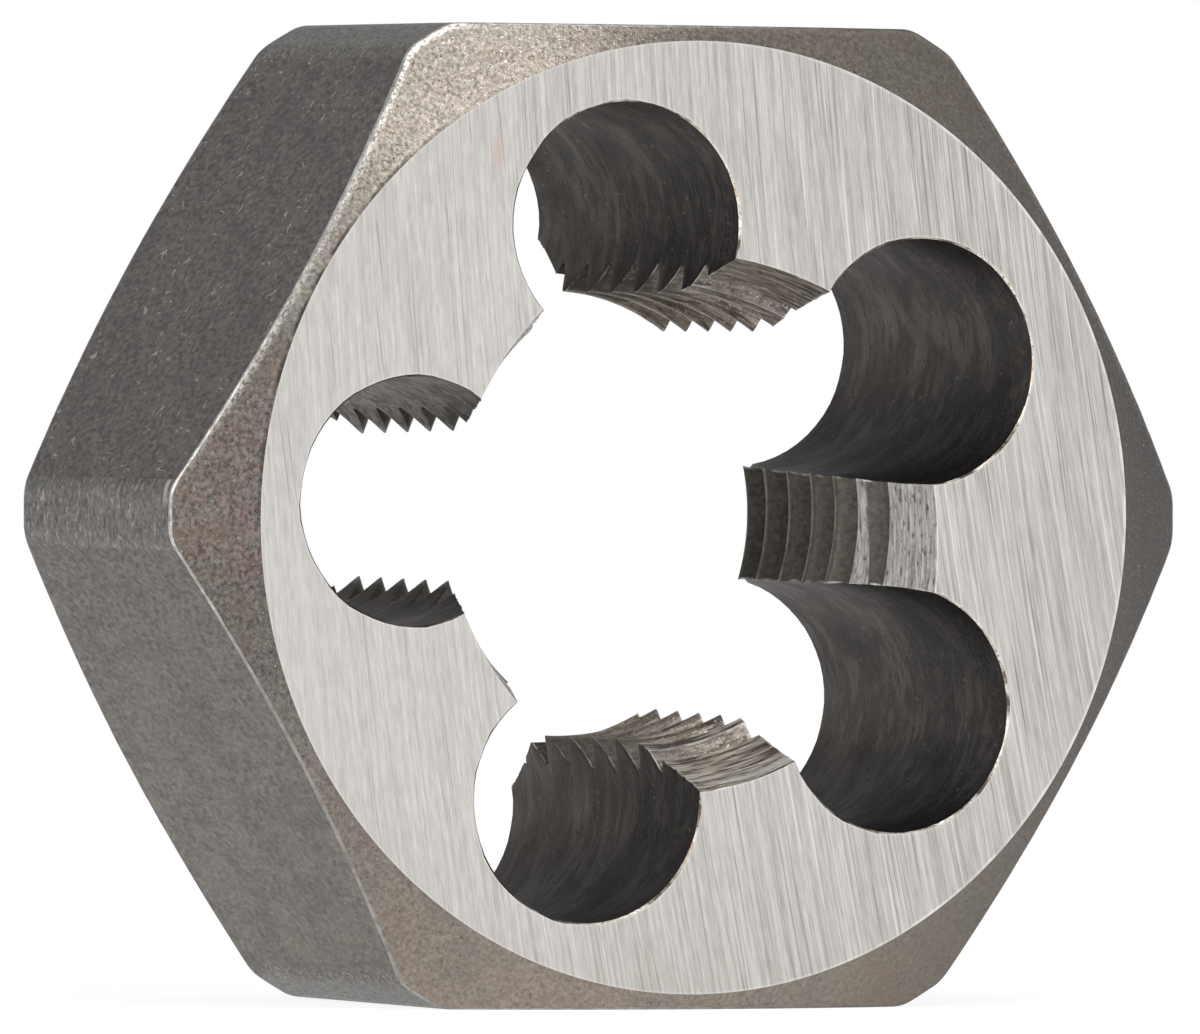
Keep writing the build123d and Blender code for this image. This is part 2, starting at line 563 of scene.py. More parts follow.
wall_points = place(wall_x, wall_z, wall_depth)
inner_points = np.concatenate([front_rings[::-1], wall_points, back_rings])
inner_rows = len(inner_points)
wall_start, wall_end = len(front_rings), len(front_rings) + row_count
row_index = np.broadcast_to(np.arange(inner_rows)[:, None], (inner_rows, column_count)).copy()
row_index[wall_start:wall_end] = wall_start + row_used(wall_depth)
inner_ids = row_index * column_count + np.arange(column_count)
outer_ids = inner_rows * column_count + np.arange(outside.size).reshape(outside.shape)
inner_quads = ring_quads(inner_ids)
outer_quads = ring_quads(outer_ids)[..., ::-1]
front_zip = zip_rings(inner_ids[0], fan, outer_ids[0], outer_angle)
back_zip = zip_rings(inner_ids[-1], fan, outer_ids[-1], outer_angle)[:, ::-1]
print(f"{inner_quads[..., 0].size + outer_quads[..., 0].size} quads before merging, "
      f"{len(front_zip) + len(back_zip)} triangles of zip")

# %% [markdown]
# ## Which finish each face has
#
# A machinist would name six surfaces here: the ground faces, the chamfer cones, the flats of the
# bar, the turned corners, the drilled holes and the toothed lands. The broken edges between them
# are bright and count as a seventh. The grids know which is which from their rows and columns
# alone, so no face has to be picked by hand.

# %% Finish of each face
finish_names = ["ground_face", "chamfer_cone", "hex_flat", "turned_corner", "chip_hole",
                "toothed_land", "broken_edge"]
GROUND, CHAMFER, FLAT, CORNER, HOLE, LAND, BROKEN = range(len(finish_names))

between_land = on_land & np.roll(on_land, -1)
inner_finish = np.full(inner_quads.shape[:2], GROUND)
inner_finish[wall_start:wall_end - 1] = np.where(between_land, LAND, HOLE)
inner_finish[[wall_start - 1, wall_end - 1]] = np.where(between_land, LAND, BROKEN)

turned = np.abs((outer_angle + np.roll(outer_angle, -1)) / 2 % (TAU / 6) - TAU / 12)
side_finish = np.where(turned < flat_end, FLAT, CORNER)
outer_finish = np.full(outer_quads.shape[:2], CHAMFER)
cone_steps, curve_steps = len(cone_shares) - 1, len(curve_shares) - 1
outer_finish[cone_steps:-cone_steps] = BROKEN
outer_finish[cone_steps + curve_steps:-cone_steps - curve_steps] = side_finish
print(f"{np.sum(inner_finish == LAND)} quads of land, {np.sum(inner_finish == HOLE)} of chip hole")

# %% [markdown]
# ## What the finishes need to know
#
# Wear, burrs and stains gather along edges, so the finishes need to know how far each point is
# from one. On a land they also need to know whether the lead or the tap cut the surface last, and
# the difference of the two radii says that: where it is above zero the lead went deeper. In a chip
# hole the stains lie differently high up and low down, so the third number runs from -1 at the
# bottom of a hole to 1 at its top. All three are easy to work out while the grids are still grids,
# and hard afterwards. They go into the mesh as attributes, which the nodes read by name.

# %% Three numbers for each point
def running_length(points):
    """Length walked down each column of a grid from its first row."""
    steps = np.linalg.norm(np.diff(points, axis=0), axis=-1)
    return np.concatenate([np.zeros_like(steps[:1]), np.cumsum(steps, axis=0)])


def face_edge(rings):
    """On a face: the nearer of the rim of the bore and the ground circle, measured along the ruled lines."""
    walked = running_length(rings)
    return np.minimum(walked, walked[-1] + ring_gap - walked)


wall_edge = np.minimum(np.minimum(wall_depth, thickness - wall_depth), joined("beside"))
walked = running_length(outer_points)
worn_row = cone_steps + curve_steps // 2
edge_rows = (0, worn_row, -1 - worn_row, -1)
outer_edge = np.min([np.abs(walked - walked[row]) for row in edge_rows], axis=0)
edge_distance = np.concatenate([face_edge(front_rings)[::-1].ravel(), wall_edge.ravel(),
                                face_edge(back_rings).ravel(), outer_edge.ravel()])
lead_cut, wall_up = np.ones(len(edge_distance)), np.zeros(len(edge_distance))
wall_first, wall_size = wall_start * column_count, wall_edge.size
for numbers, name in ((lead_cut, "lead"), (wall_up, "up")):
    numbers[wall_first:][:wall_size] = joined(name).ravel()
print(f"edge distance up to {edge_distance.max():.2f} mm, "
      f"the leads cut up to {joined('lead').max():.2f} mm deeper")

# %% [markdown]
# ## A map of the surface
#
# For baking, the die's finishes go into one square picture, and a UV map says which place in it belongs to
# which place on the metal. Blender can lay out such a map by itself, but it would cut this die into many
# scraps. The form is easy to unroll: two ends seen straight on, the outside in two strips, each hole's wall
# rolled flat like a label, and each land walked tooth by tooth. The front and the lands, which are looked at
# most, get the largest scale.
#
# Every flat drawing is in millimetres and isn't mirrored, seen from outside the metal. The two
# strips meet about a degree beside the highest and lowest columns, where rounding can't decide
# to which of the two a column belongs.

# %% Unroll the sheets
FRONT, BACK, LEFT, RIGHT, FIRST_LAND = range(5)
FIRST_HOLE = FIRST_LAND + chip_hole_count
past_holes, strip_shift = 12.0, math.radians(1.5)
all_points = np.concatenate([inner_points.reshape(-1, 3), outer_points.reshape(-1, 3)])
all_x, all_depth, all_z = all_points[:, 0], all_points[:, 1] - front_y, all_points[:, 2]
all_radius, all_angle = np.hypot(all_x, all_z), np.arctan2(all_z, all_x)

on_block = np.repeat(np.arange(2 * chip_hole_count), [len(hole_share), len(land_share)] * chip_hole_count)
hole_sheet = FIRST_HOLE + (on_block // 2 + on_land) % chip_hole_count
column_sheet = np.where(between_land, FIRST_LAND + on_block // 2, hole_sheet)
inner_sheet = np.full(inner_quads.shape[:2], FRONT)
inner_sheet[wall_start:wall_end - 1] = column_sheet
inner_sheet[wall_end - 1:] = BACK
strip_sheet = np.where(np.cos(outer_angle + strip_shift) < 0, LEFT, RIGHT)
outer_sheet = np.tile(strip_sheet, (len(outer_quads), 1))
outer_sheet[:cone_steps + curve_steps] = FRONT
outer_sheet[-cone_steps - curve_steps:] = BACK


def end_drawing(way, depth):
    """An end seen straight on. The chamfer is drawn wider, by half its depth, so that it isn't cramped."""
    wider = 1 + np.where(all_radius > past_holes, depth, 0) / (2 * all_radius)
    return np.stack([way * all_x * wider, all_z * wider], -1)


def strip_drawing(middle):
    """Half of the outside: the angle from its middle times a mean radius, and the depth downwards."""
    return np.stack([turn_between(middle, all_angle) * (flat_radius + corner_radius) / 2, -all_depth], -1)


def land_drawing(land):
    """A land: the angle times a mean radius, and the length walked down over the teeth."""
    walked = np.zeros(len(all_points))
    walked[wall_first:][:wall_size] = running_length(wall_points).ravel()
    middle = first_chip_hole + (land + 0.5) * chip_hole_step
    return np.stack([-turn_between(middle, all_angle) * (root_radius + crest_radius) / 2, -walked], -1)


def hole_drawing(hole):
    """A hole's wall: its depth, and the angle about the hole's own centre times its radius."""
    x, z = hole_centre(hole, all_depth)
    nominal = first_chip_hole + hole * chip_hole_step
    angle = turn_between(nominal, np.arctan2(all_z - z, all_x - x))
    return np.stack([all_depth, -angle * chip_hole_radius], -1)


print(f"{FIRST_HOLE + chip_hole_count} sheets, {len(all_points)} points before merging")

# %% [markdown]
# ## Laying out the sheets
#
# The sheets go into rows from the bottom up: the front beside the lands, then the holes, then the
# two strips one above the other beside the back. A small gap keeps the colours of neighbours apart.
# At last the whole is stretched to fill the square.

# %% Lay out the sheets
back_scale, side_scale, hole_scale, sheet_gap = 0.62, 0.7, 0.8, 0.25


def all_drawings():
    """The drawing of every sheet, at its scale."""
    drawn = {FRONT: end_drawing(1, all_depth), BACK: back_scale * end_drawing(-1, thickness - all_depth),
             LEFT: side_scale * strip_drawing(math.pi), RIGHT: side_scale * strip_drawing(0.0)}
    for k in range(chip_hole_count):
        drawn[FIRST_LAND + k] = land_drawing(k)
        drawn[FIRST_HOLE + k] = hole_scale * hole_drawing(k)
    return drawn


def bake_places(triangles, face_sheet):
    """Lays the drawings out in rows of stacks, and scales the whole to fill the square."""
    drawn = all_drawings()
    land_stacks = [[FIRST_LAND + k] for k in range(chip_hole_count)]
    hole_stacks = [[FIRST_HOLE + k] for k in range(chip_hole_count)]
    places, top = np.zeros((len(triangles), 3, 2)), 0.0
    for row in ([[FRONT]] + land_stacks, hole_stacks, [[LEFT, RIGHT], [BACK]]):
        across, row_start = 0.0, top
        for stack in row:
            left, up = across, row_start
            for sheet in stack:
                faces = face_sheet == sheet
                corners = drawn[sheet][triangles[faces]]
                start = corners.min(axis=(0, 1))
                width, height = corners.max(axis=(0, 1)) - start + sheet_gap
                places[faces] = corners - start + (left, up) + sheet_gap / 2
                up, across = up + height, max(across, left + width)
            top = max(top, up)
    extent = places.max(axis=(0, 1)) + sheet_gap / 2
    print(f"the map holds {extent[0]:.1f} by {extent[1]:.1f} mm of metal at the front's scale")
    return places / extent


print(f"scales beside the front's: back {back_scale}, sides {side_scale}, holes {hole_scale}")

# %% [markdown]
# ## The mesh
#
# Quads become pairs of triangles, and a triangle that lost a corner in the merging is dropped.
# Two numbers then say whether the skin is sound. Every edge has to belong to exactly two faces,
# and the volume inside has to come out close to the CAD solid's.

# %% Make the mesh
def split(quads, finish, sheet):
    """Two triangles for each quad, each with its finish and its sheet."""
    corners = quads.reshape(-1, 4)
    triangles = corners[:, [[0, 1, 2], [0, 2, 3]]].reshape(-1, 3)
    return triangles, np.repeat(finish.ravel(), 2), np.repeat(sheet.ravel(), 2)


parts = [split(inner_quads, inner_finish, inner_sheet), split(outer_quads, outer_finish, outer_sheet),
         (front_zip, np.full(len(front_zip), GROUND), np.full(len(front_zip), FRONT)),
         (back_zip, np.full(len(back_zip), GROUND), np.full(len(back_zip), BACK))]
triangles, face_finish, face_sheet = (np.concatenate(column) for column in zip(*parts))
whole = (triangles != np.roll(triangles, 1, axis=1)).all(axis=1)
triangles, face_finish, face_sheet = triangles[whole], face_finish[whole], face_sheet[whole]
bake_map = bake_places(triangles, face_sheet)
used, triangles = np.unique(triangles, return_inverse=True)
triangles = triangles.reshape(-1, 3)
points = all_points[used] * MM

mesh = bpy.data.meshes.new("die")
mesh.from_pydata(points, [], triangles)
mesh.polygons.foreach_set("material_index", face_finish.astype(np.int32))
for name, numbers in (("edge_mm", edge_distance), ("lead_mm", lead_cut), ("wall_up", wall_up)):
    layer = mesh.attributes.new(name, "FLOAT", "POINT")
    layer.data.foreach_set("value", numbers[used].astype(np.float32))
mesh.uv_layers.new(name="OFBake").uv.foreach_set("vector", bake_map.astype(np.float32).ravel())
mesh.shade_smooth()
mesh.set_sharp_from_angle(angle=math.radians(30))
mesh.update()
die = bpy.data.objects.new("die", mesh)
bpy.context.collection.objects.link(die)


def soundness(triangles, points):
    """How many edges lack a partner that runs the other way, and the volume by adding up signed wedges."""
    ways = np.concatenate([triangles, np.roll(triangles, -1, axis=1)], axis=0).reshape(2, -1)
    forward = ways[0] * len(points) + ways[1]
    backward = ways[1] * len(points) + ways[0]
    a, b, c = points[triangles[:, 0]], points[triangles[:, 1]], points[triangles[:, 2]]
    volume = np.sum(a * np.cross(b, c)) / 6
    return len(np.setxor1d(forward, backward)), volume / MM**3


open_edges, volume = soundness(triangles, points)
print(f"{len(triangles)} triangles, {open_edges} open edges, volume {volume:.0f} mm3")

# %% [markdown]
# ## Nodes in short calls
#
# Every finish below is a small tree of nodes. These helpers keep each tree readable: one call
# adds a node, sets the numbers on its sockets and links whatever is already a node's output. `spread`
# turns a coordinate or a pattern into a share from 0 to 1 by where it lies between two numbers, and
# `near` by how close it lies to one. `times` joins such shares: where one of them is 0, so is all.
#
# All patterns read Object coordinates, turned into millimetres, so a number in a pattern is a
# real size on the metal. Noise that is stretched along one axis makes the lines that a tool
# leaves, because a cutter changes slowly along its path and quickly across it.

# %% Helpers for the finishes
def node(tree, kind, inputs, **settings):
    """Adds a node. Inputs are numbers, colours or the outputs of other nodes, by name or place."""
    made = tree.nodes.new(kind)
    for name, value in settings.items():
        setattr(made, name, value)
    for key, value in inputs.items():
        if isinstance(value, bpy.types.NodeSocket):
            tree.links.new(value, made.inputs[key])
        else:
            made.inputs[key].default_value = value
    return made


def maths(tree, operation, first, second=0.0, third=0.0):
    return node(tree, "ShaderNodeMath", {0: first, 1: second, 2: third}, operation=operation).outputs[0]


def times(tree, *values):
    """The product of all its values."""
    product = values[0]
    for value in values[1:]:
        product = maths(tree, "MULTIPLY", product, value)
    return product


def weighted(tree, *parts):
    """The sum of some patterns, each times its weight."""
    total = 0.0
    for pattern, weight in parts:
        total = maths(tree, "MULTIPLY_ADD", pattern, weight, total)
    return total


def spread(tree, value, low, high, to_low=0.0, to_high=1.0):
    """Stretches the part of a value between two numbers over two others, and cuts off what lies beyond."""
    return node(tree, "ShaderNodeMapRange", {0: value, 1: low, 2: high, 3: to_low, 4: to_high}).outputs[0]


def near(tree, value, middle, far_off, close, to_low=0.0, to_high=1.0):
    """Spreads the distance of a value from a middle: to_low where it is far off, to_high where close."""
    off = maths(tree, "ABSOLUTE", maths(tree, "SUBTRACT", value, middle))
    return spread(tree, off, far_off, close, to_low, to_high)


def strength_of(tree, pattern, amount):
    """A pattern round 0.5, made stronger or weaker about that middle."""
    return maths(tree, "MULTIPLY_ADD", maths(tree, "SUBTRACT", pattern, 0.5), amount, 0.5)


def millimetres(tree, stretch=(1, 1, 1), shift=(0, 0, 0)):
    """Object coordinates in millimetres, divided by how long the pattern's marks are along each axis."""
    where = node(tree, "ShaderNodeTexCoord", {}).outputs["Object"]
    scale = [1 / (MM * length) for length in stretch]
    return node(tree, "ShaderNodeMapping", {"Vector": where, "Location": shift, "Scale": scale}).outputs[0]


def position(tree):
    """The three coordinates in millimetres."""
    return node(tree, "ShaderNodeSeparateXYZ", {0: millimetres(tree)}).outputs


def radius_mm(tree):
    """Distance from the thread's axis in millimetres: the length of the position without its depth."""
    x, _, z = position(tree)
    return maths(tree, "SQRT", maths(tree, "MULTIPLY_ADD", x, x, times(tree, z, z)))


def from_mesh(tree, name):
    """One of the three numbers that the mesh carries: edge_mm, lead_mm or wall_up."""
    return node(tree, "ShaderNodeAttribute", {}, attribute_name=name).outputs["Fac"]


print("patterns read the die in millimetres")

# %% [markdown]
# ## Colour and relief
#
# Steel has few colours, but many of them at once: bare metal, brown and grey oxide, dark pits and
# bright specks. `tint` mixes two, and `over` lays one over another only where a pattern is strong,
# which is how specks and stains are made. `toned` multiplies a colour where a whole stretch is
# darker or lighter. `relief` turns a pattern into bump of a stated depth, and `give` makes a finish
# and adds it to the mesh, in the order in which the faces count their finishes.

# %% Helpers for colour and relief
def noise(tree, vector, detail=2.0, roughness=0.5):
    return node(tree, "ShaderNodeTexNoise", {"Vector": vector, "Scale": 1.0, "Detail": detail,
                                             "Roughness": roughness}).outputs[0]


def grains(tree, size, detail=2.0, shift=0.0):
    """Noise with marks of one size in every direction, or of three sizes along the three axes."""
    sizes = size if isinstance(size, tuple) else (size, size, size)
    return noise(tree, millimetres(tree, sizes, (shift, shift, shift)), detail, 0.6)


def tint(tree, share, first, second, blend="MIX"):
    """Mixes two colours, each either a plain colour or the output of a node."""
    first, second = (c if isinstance(c, bpy.types.NodeSocket) else (*c, 1.0) for c in (first, second))
    made = node(tree, "ShaderNodeMix", {0: share, 6: first, 7: second}, data_type="RGBA", blend_type=blend)
    return made.outputs[2]


def over(tree, colour, pattern, start, full, strength, second):
    """Lays a second colour on the first where a pattern goes from start to full, as strong as stated."""
    return tint(tree, spread(tree, pattern, start, full, 0.0, strength), colour, second)


def toned(tree, colour, share, factor):
    """Multiplies a colour by a factor, as far as the share says."""
    return tint(tree, share, colour, factor, "MULTIPLY")


def contour(tree, pattern, level, width):
    """A thin line where a pattern passes through one level, and nothing beside it."""
    return near(tree, pattern, level, width, width * 0.3)


def relief(tree, height, depth, normal=None):
    """Bump of a real depth in millimetres."""
    inputs = {"Height": height, "Distance": depth * MM, "Strength": 1.0}
    if normal is not None:
        inputs["Normal"] = normal
    return node(tree, "ShaderNodeBump", inputs).outputs[0]


def steel(name, metallic):
    """A new finish: its material, its node tree and its shader."""
    material = bpy.data.materials.new(name)
    material.use_nodes = True
    shader = material.node_tree.nodes["Principled BSDF"]
    shader.inputs["Metallic"].default_value = metallic
    return material, material.node_tree, shader


def join_up(tree, shader, colour, roughness, normal):
    for name, output in (("Base Color", colour), ("Roughness", roughness), ("Normal", normal)):
        tree.links.new(output, shader.inputs[name])


def give(make):
    """Makes a finish, adds it to the mesh, and says how large its tree is."""
    material = make()
    mesh.materials.append(material)
    print(f"{material.name}: {len(material.node_tree.nodes)} nodes")


dark_skin = (0.040, 0.035, 0.031)
print("the chamfers, flats and corners share one dark skin")

# %% [markdown]
# ## The ground faces
#
# A surface grinder leaves fine parallel lines, here about a fifth of a millimetre apart and many
# millimetres long. The wheel was wide and the die lay on a turning table, so the lines aren't
# quite parallel: they fan out slowly over the face. Three numbers say how, a lean at the centre
# and how much it changes along each axis. From them comes one coordinate across the lines.
#
# Noise that is fine across and long along that coordinate draws the lines. Three layers of it, in
# different widths and lengths, keep them from looking combed. A fourth adds dark and light hairs,
# and a fifth a few strays that lean a little more. The lines and hairs get bolder towards the
# right, where the face is also a little brighter along its circle.

# %% Ground face
line_lean, lean_by_side, lean_by_height = 0.1415, 0.0035, -0.00415
stray_lean = 0.05
stain_place, stain_length, stain_radius = (-6.1, front_y, 9.9), 3, 0.26


def across_the_lines(tree):
    """Place across the grinding lines: x, plus z times the lean, which changes along x and along z."""
    x, _, z = position(tree)
    lean = maths(tree, "MULTIPLY_ADD", x, lean_by_side, line_lean)
    lean = maths(tree, "MULTIPLY_ADD", z, lean_by_height / 2, lean)
    return maths(tree, "MULTIPLY_ADD", z, lean, x), x, z


def scratches(tree, across, along, width, length, layer, detail=2.0):
    """Noise drawn out into lines of one width and length in millimetres."""
    where = node(tree, "ShaderNodeCombineXYZ", {0: maths(tree, "DIVIDE", across, width),
                                                1: maths(tree, "DIVIDE", along, length), 2: layer})
    return noise(tree, where.outputs[0], detail, 0.55)


def distance_from(tree, place, stretch):
    """Distance from a place in millimetres, counted shorter along an axis by how far it is stretched."""
    centre = tuple(side / length for side, length in zip(place, stretch))
    return node(tree, "ShaderNodeVectorMath", {0: millimetres(tree, stretch), 1: centre},
                operation="DISTANCE").outputs["Value"]


def ground_face():
    dark_line, light_line = (0.475, 0.455, 0.428), (0.745, 0.722, 0.692)
    dark_hair, light_hair, stray_hair = (0.27, 0.25, 0.23), (0.92, 0.91, 0.885), (0.30, 0.28, 0.26)
    material, tree, shader = steel("ground_face", 1.0)
    across, x, z = across_the_lines(tree)
    deeper = spread(tree, x, -11.0, 8.0)
    fine = scratches(tree, across, z, 0.085, 4.0, 1.5, 1.0)
    broad = scratches(tree, across, z, 0.30, 14.0, 5.5)
    short = scratches(tree, across, z, 0.075, 0.55, 9.5, 1.0)
    short_share = spread(tree, deeper, 0.0, 1.0, 0.50, 0.28)
    fine_share = maths(tree, "SUBTRACT", 0.94, short_share)
    lines = weighted(tree, (broad, 0.06), (short, short_share), (fine, fine_share))
    share = strength_of(tree, lines, spread(tree, deeper, 0.0, 1.0, 1.7, 3.2))
    colour = tint(tree, share, dark_line, light_line)
    hairs = scratches(tree, across, z, 0.035, 6.0, 13.5, 0.0)
    strays = scratches(tree, maths(tree, "MULTIPLY_ADD", z, stray_lean, across), z, 0.05, 3.0, 17.5, 0.0)
    dark_hairs = times(tree, spread(tree, hairs, 0.68, 0.80), spread(tree, deeper, 0.0, 1.0, 0.30, 0.85))
    light_hairs = times(tree, spread(tree, hairs, 0.30, 0.20), spread(tree, deeper, 0.0, 1.0, 0.15, 0.80))
    colour = tint(tree, dark_hairs, colour, dark_hair)
    colour = tint(tree, light_hairs, colour, light_hair)
    colour = over(tree, colour, strays, 0.76, 0.84, 0.5, stray_hair)
    colour = toned(tree, colour, spread(tree, x, -2.0, 13.0), (0.88, 0.88, 0.885))
    colour = toned(tree, colour, spread(tree, x, -3.5, -8.0), (1.05, 1.05, 1.06))
    colour = toned(tree, colour, spread(tree, z, -8.0, -12.5), (0.94, 0.94, 0.93))
    from_stain = distance_from(tree, stain_place, (1, 1, stain_length))
    stained = times(tree, spread(tree, from_stain, stain_radius, 0.05),
                    spread(tree, short, 0.36, 0.56, 0.1, 0.45))
    colour = tint(tree, stained, colour, (0.60, 0.36, 0.22))
    # Painted highlight: a pale halo along the rims of the holes and along the ground circle.
    colour = over(tree, colour, from_mesh(tree, "edge_mm"), 0.07, 0.0, 0.35, (0.86, 0.85, 0.82))
    at_circle = spread(tree, radius_mm(tree), front_ground_radius - 0.10, front_ground_radius - 0.04)
    light_circle = times(tree, at_circle, spread(tree, x, 0.0, 8.0, 0.0, 0.6),
                         spread(tree, grains(tree, 0.8, 4.0, 6.0), 0.42, 0.58, 0.1, 1.0))
    colour = tint(tree, light_circle, colour, (0.93, 0.93, 0.95))
    roughness = spread(tree, broad, 0.3, 0.7, 0.31, 0.36)
    join_up(tree, shader, colour, roughness, relief(tree, lines, 0.003))
    return material


give(ground_face)

# %% [markdown]
# ## The chamfers
#
# Hardening leaves a thin oxide on everything that wasn't ground afterwards. The chamfers were turned, then
# blasted: fine grain, coarser towards the upper left, with dark pits and bright specks, and reddish blotches
# beside the left corner. Towards the upper left the grain and specks are also painted paler and stronger: a
# painted glint, where a lamp makes them glitter. Along the ground circle runs a thin dark line, broken in
# places: the painted shadow of a small step. On the upper left the outside edge is worn bare by handling, and
# the bare metal spreads unevenly into the skin, where it is also a painted highlight of that edge.
#
# Painted light and shade make the skin unequally dark all round, and darker still towards the right.
# `chamfer_light_levels` holds the first as a short list: a stretch of the chamfer, and the factor that its
# colour is multiplied by.

# %% Chamfer
def worn_rim(tree, colour, reach, light):
    """Bare metal that spreads unevenly from an outside edge into the skin beside it, on the upper left, also
    painted there as the edge's highlight.
    """
    x, _, z = position(tree)
    # Upper left only: worn metal there, which is also a painted highlight of the edge.
    handled_and_lit = times(tree, spread(tree, z, 0.5, 4.0), spread(tree, x, -6.0, -7.6, 0.15, 1.0))
    close = spread(tree, from_mesh(tree, "edge_mm"), reach, reach * 0.4)
    outside = spread(tree, radius_mm(tree), front_ground_radius + 0.1, front_ground_radius + 0.3)
    ragged = spread(tree, grains(tree, 0.10, 3.0, 11.0), 0.38, 0.60, 0.0, 0.9)
    return tint(tree, times(tree, close, handled_and_lit, outside, ragged), colour, light)


def chamfer_light_levels(tree, colour, x, z):
    """Painted light and shade: the chamfers' skin is made darker or lighter by stretch, as the light falls;
    each line sets one stretch.
    """
    left, low_left = spread(tree, x, -6.0, -12.0), spread(tree, x, -7.0, -9.5)
    top_left = times(tree, spread(tree, z, 7.0, 12.5), spread(tree, x, 6.0, 1.0))
    bottom = spread(tree, z, -9.0, -12.5)
    for share, factor in ((top_left, (0.85, 0.85, 0.85)),
                          (times(tree, top_left, spread(tree, x, -4.5, -6.5)), (0.85, 0.86, 0.86)),
                          (times(tree, near(tree, z, 8.5, 3.6, 2.2), spread(tree, x, -6.5, -9.5)),
                           (1.38, 1.39, 1.38)),
                          (times(tree, left, spread(tree, z, 5.0, 1.0)), (0.81, 0.815, 0.84)),
                          (times(tree, left, near(tree, z, -3.2, 2.6, 1.2)), (0.80, 0.82, 0.84)),
                          (times(tree, low_left, spread(tree, z, -4.0, -9.0)), (1.04, 1.03, 1.02)),
                          (times(tree, bottom, spread(tree, x, 2.0, -2.0)), (1.15, 1.12, 1.10)),
                          (times(tree, bottom, spread(tree, x, 2.0, 6.0)), (0.98, 0.96, 0.93))):
        colour = toned(tree, colour, share, factor)
    return colour


def chamfer_cone():
    dark_grain, light_grain = (0.125, 0.106, 0.090), (0.375, 0.335, 0.290)
    brown_patch, grey_patch = (0.24, 0.185, 0.145), (0.185, 0.178, 0.158)
    shaded_right = (0.062, 0.060, 0.0605)
    material, tree, shader = steel("chamfer_cone", 0.9)
    grain, fine = grains(tree, (0.12, 0.12, 0.13), 2.0), grains(tree, 0.06, 2.0, 7.0)
    patches, blotches = grains(tree, 1.6, 3.0), grains(tree, 0.40, 3.0, 13.0)
    x, _, z = position(tree)
    # Partly painted glint: grain, specks and pits are strongest towards the upper left.
    coarse_and_glinting = times(tree, spread(tree, z, -13.0, 3.0, 0.62, 1.0), spread(tree, x, -2.0, 8.0, 1.0, 0.6))
    at_corner = times(tree, near(tree, z, 0.0, 5.0, 1.5), spread(tree, x, -9.0, -11.5))
    share = strength_of(tree, grain, times(tree, coarse_and_glinting, spread(tree, at_corner, 0.0, 1.0, 2.2, 3.0)))
    colour = tint(tree, share, dark_grain, light_grain)
    colour = over(tree, colour, patches, 0.52, 0.66, 0.35, brown_patch)
    colour = over(tree, colour, patches, 0.46, 0.34, 0.35, grey_patch)
    reddish = times(tree, spread(tree, blotches, 0.46, 0.66), spread(tree, at_corner, 0.0, 1.0, 0.06, 0.8))
    colour = toned(tree, colour, reddish, (1.10, 0.88, 0.86))
    # Painted light and shade round the chamfer, then painted shade towards the right.
    colour = chamfer_light_levels(tree, colour, x, z)
    colour = over(tree, colour, x, 4.0, 14.0, 0.85, shaded_right)
    specks = times(tree, spread(tree, fine, 0.63, 0.73, 0.0, 0.65), coarse_and_glinting)
    colour = tint(tree, specks, colour, (0.62, 0.59, 0.55))
    pits = times(tree, spread(tree, grains(tree, 0.13, 2.0, 3.0), 0.37, 0.28, 0.0, 0.75), coarse_and_glinting)
    colour = tint(tree, pits, colour, dark_skin)
    # Painted shadow: a thin dark line along the ground circle, for a small step there.
    line = times(tree, near(tree, radius_mm(tree), front_ground_radius + 0.03, 0.06, 0.03),
                 spread(tree, grains(tree, 0.9, 4.0, 2.0), 0.38, 0.52),
                 spread(tree, x, -6.5, -9.5, 0.08, 0.7), spread(tree, z, -2.0, 2.0, 0.1, 1.0))
    colour = tint(tree, line, colour, dark_skin)
    colour = worn_rim(tree, colour, 0.26, (0.86, 0.83, 0.79))
    roughness = spread(tree, fine, 0.3, 0.7, 0.42, 0.32)
    join_up(tree, shader, colour, roughness, relief(tree, grain, 0.010))
    return material


give(chamfer_cone)

# %% [markdown]
# ## The flats and the turned corners
#
# The flats keep the smooth grey skin of the bar, where soft bands run along the die low down, and their
# colour is painted paler low down, as painted light for the pale floor that the lower flats reflect. Small
# curled nicks gather on the upper flats and a few thin dark scratches on the lower ones.
# The corners were turned on a lathe and then handled, so they carry coarse ticks of bare metal
# instead, and the left one has a pale rubbed spot.
#
# A curled nick is a thin contour of a noise: a line that bends as the noise does. Where a second noise is
# weak the line is hidden, which leaves only short pieces of it. Each nick is two such lines side by side,
# painted shade on one and a painted highlight on the other.

# %% Flat and turned corner
def curled_nicks(tree, colour, where):
    """Tiny curved nicks, painted bright on one side and dark on the other as highlight and shade: thin
    contours of a noise, in spots.
    """
    curl = grains(tree, (0.36, 0.55, 0.36), 0.0, 9.0)
    spots = times(tree, spread(tree, grains(tree, (0.22, 0.36, 0.22), 1.0, 3.0), 0.56, 0.64, 0.0, 0.8), where)
    # Painted shade on one side of each nick, and a painted highlight on the other.
    colour = tint(tree, times(tree, contour(tree, curl, 0.58, 0.050), spots), colour, dark_skin)
    return tint(tree, times(tree, contour(tree, curl, 0.50, 0.045), spots), colour, (0.44, 0.42, 0.40))


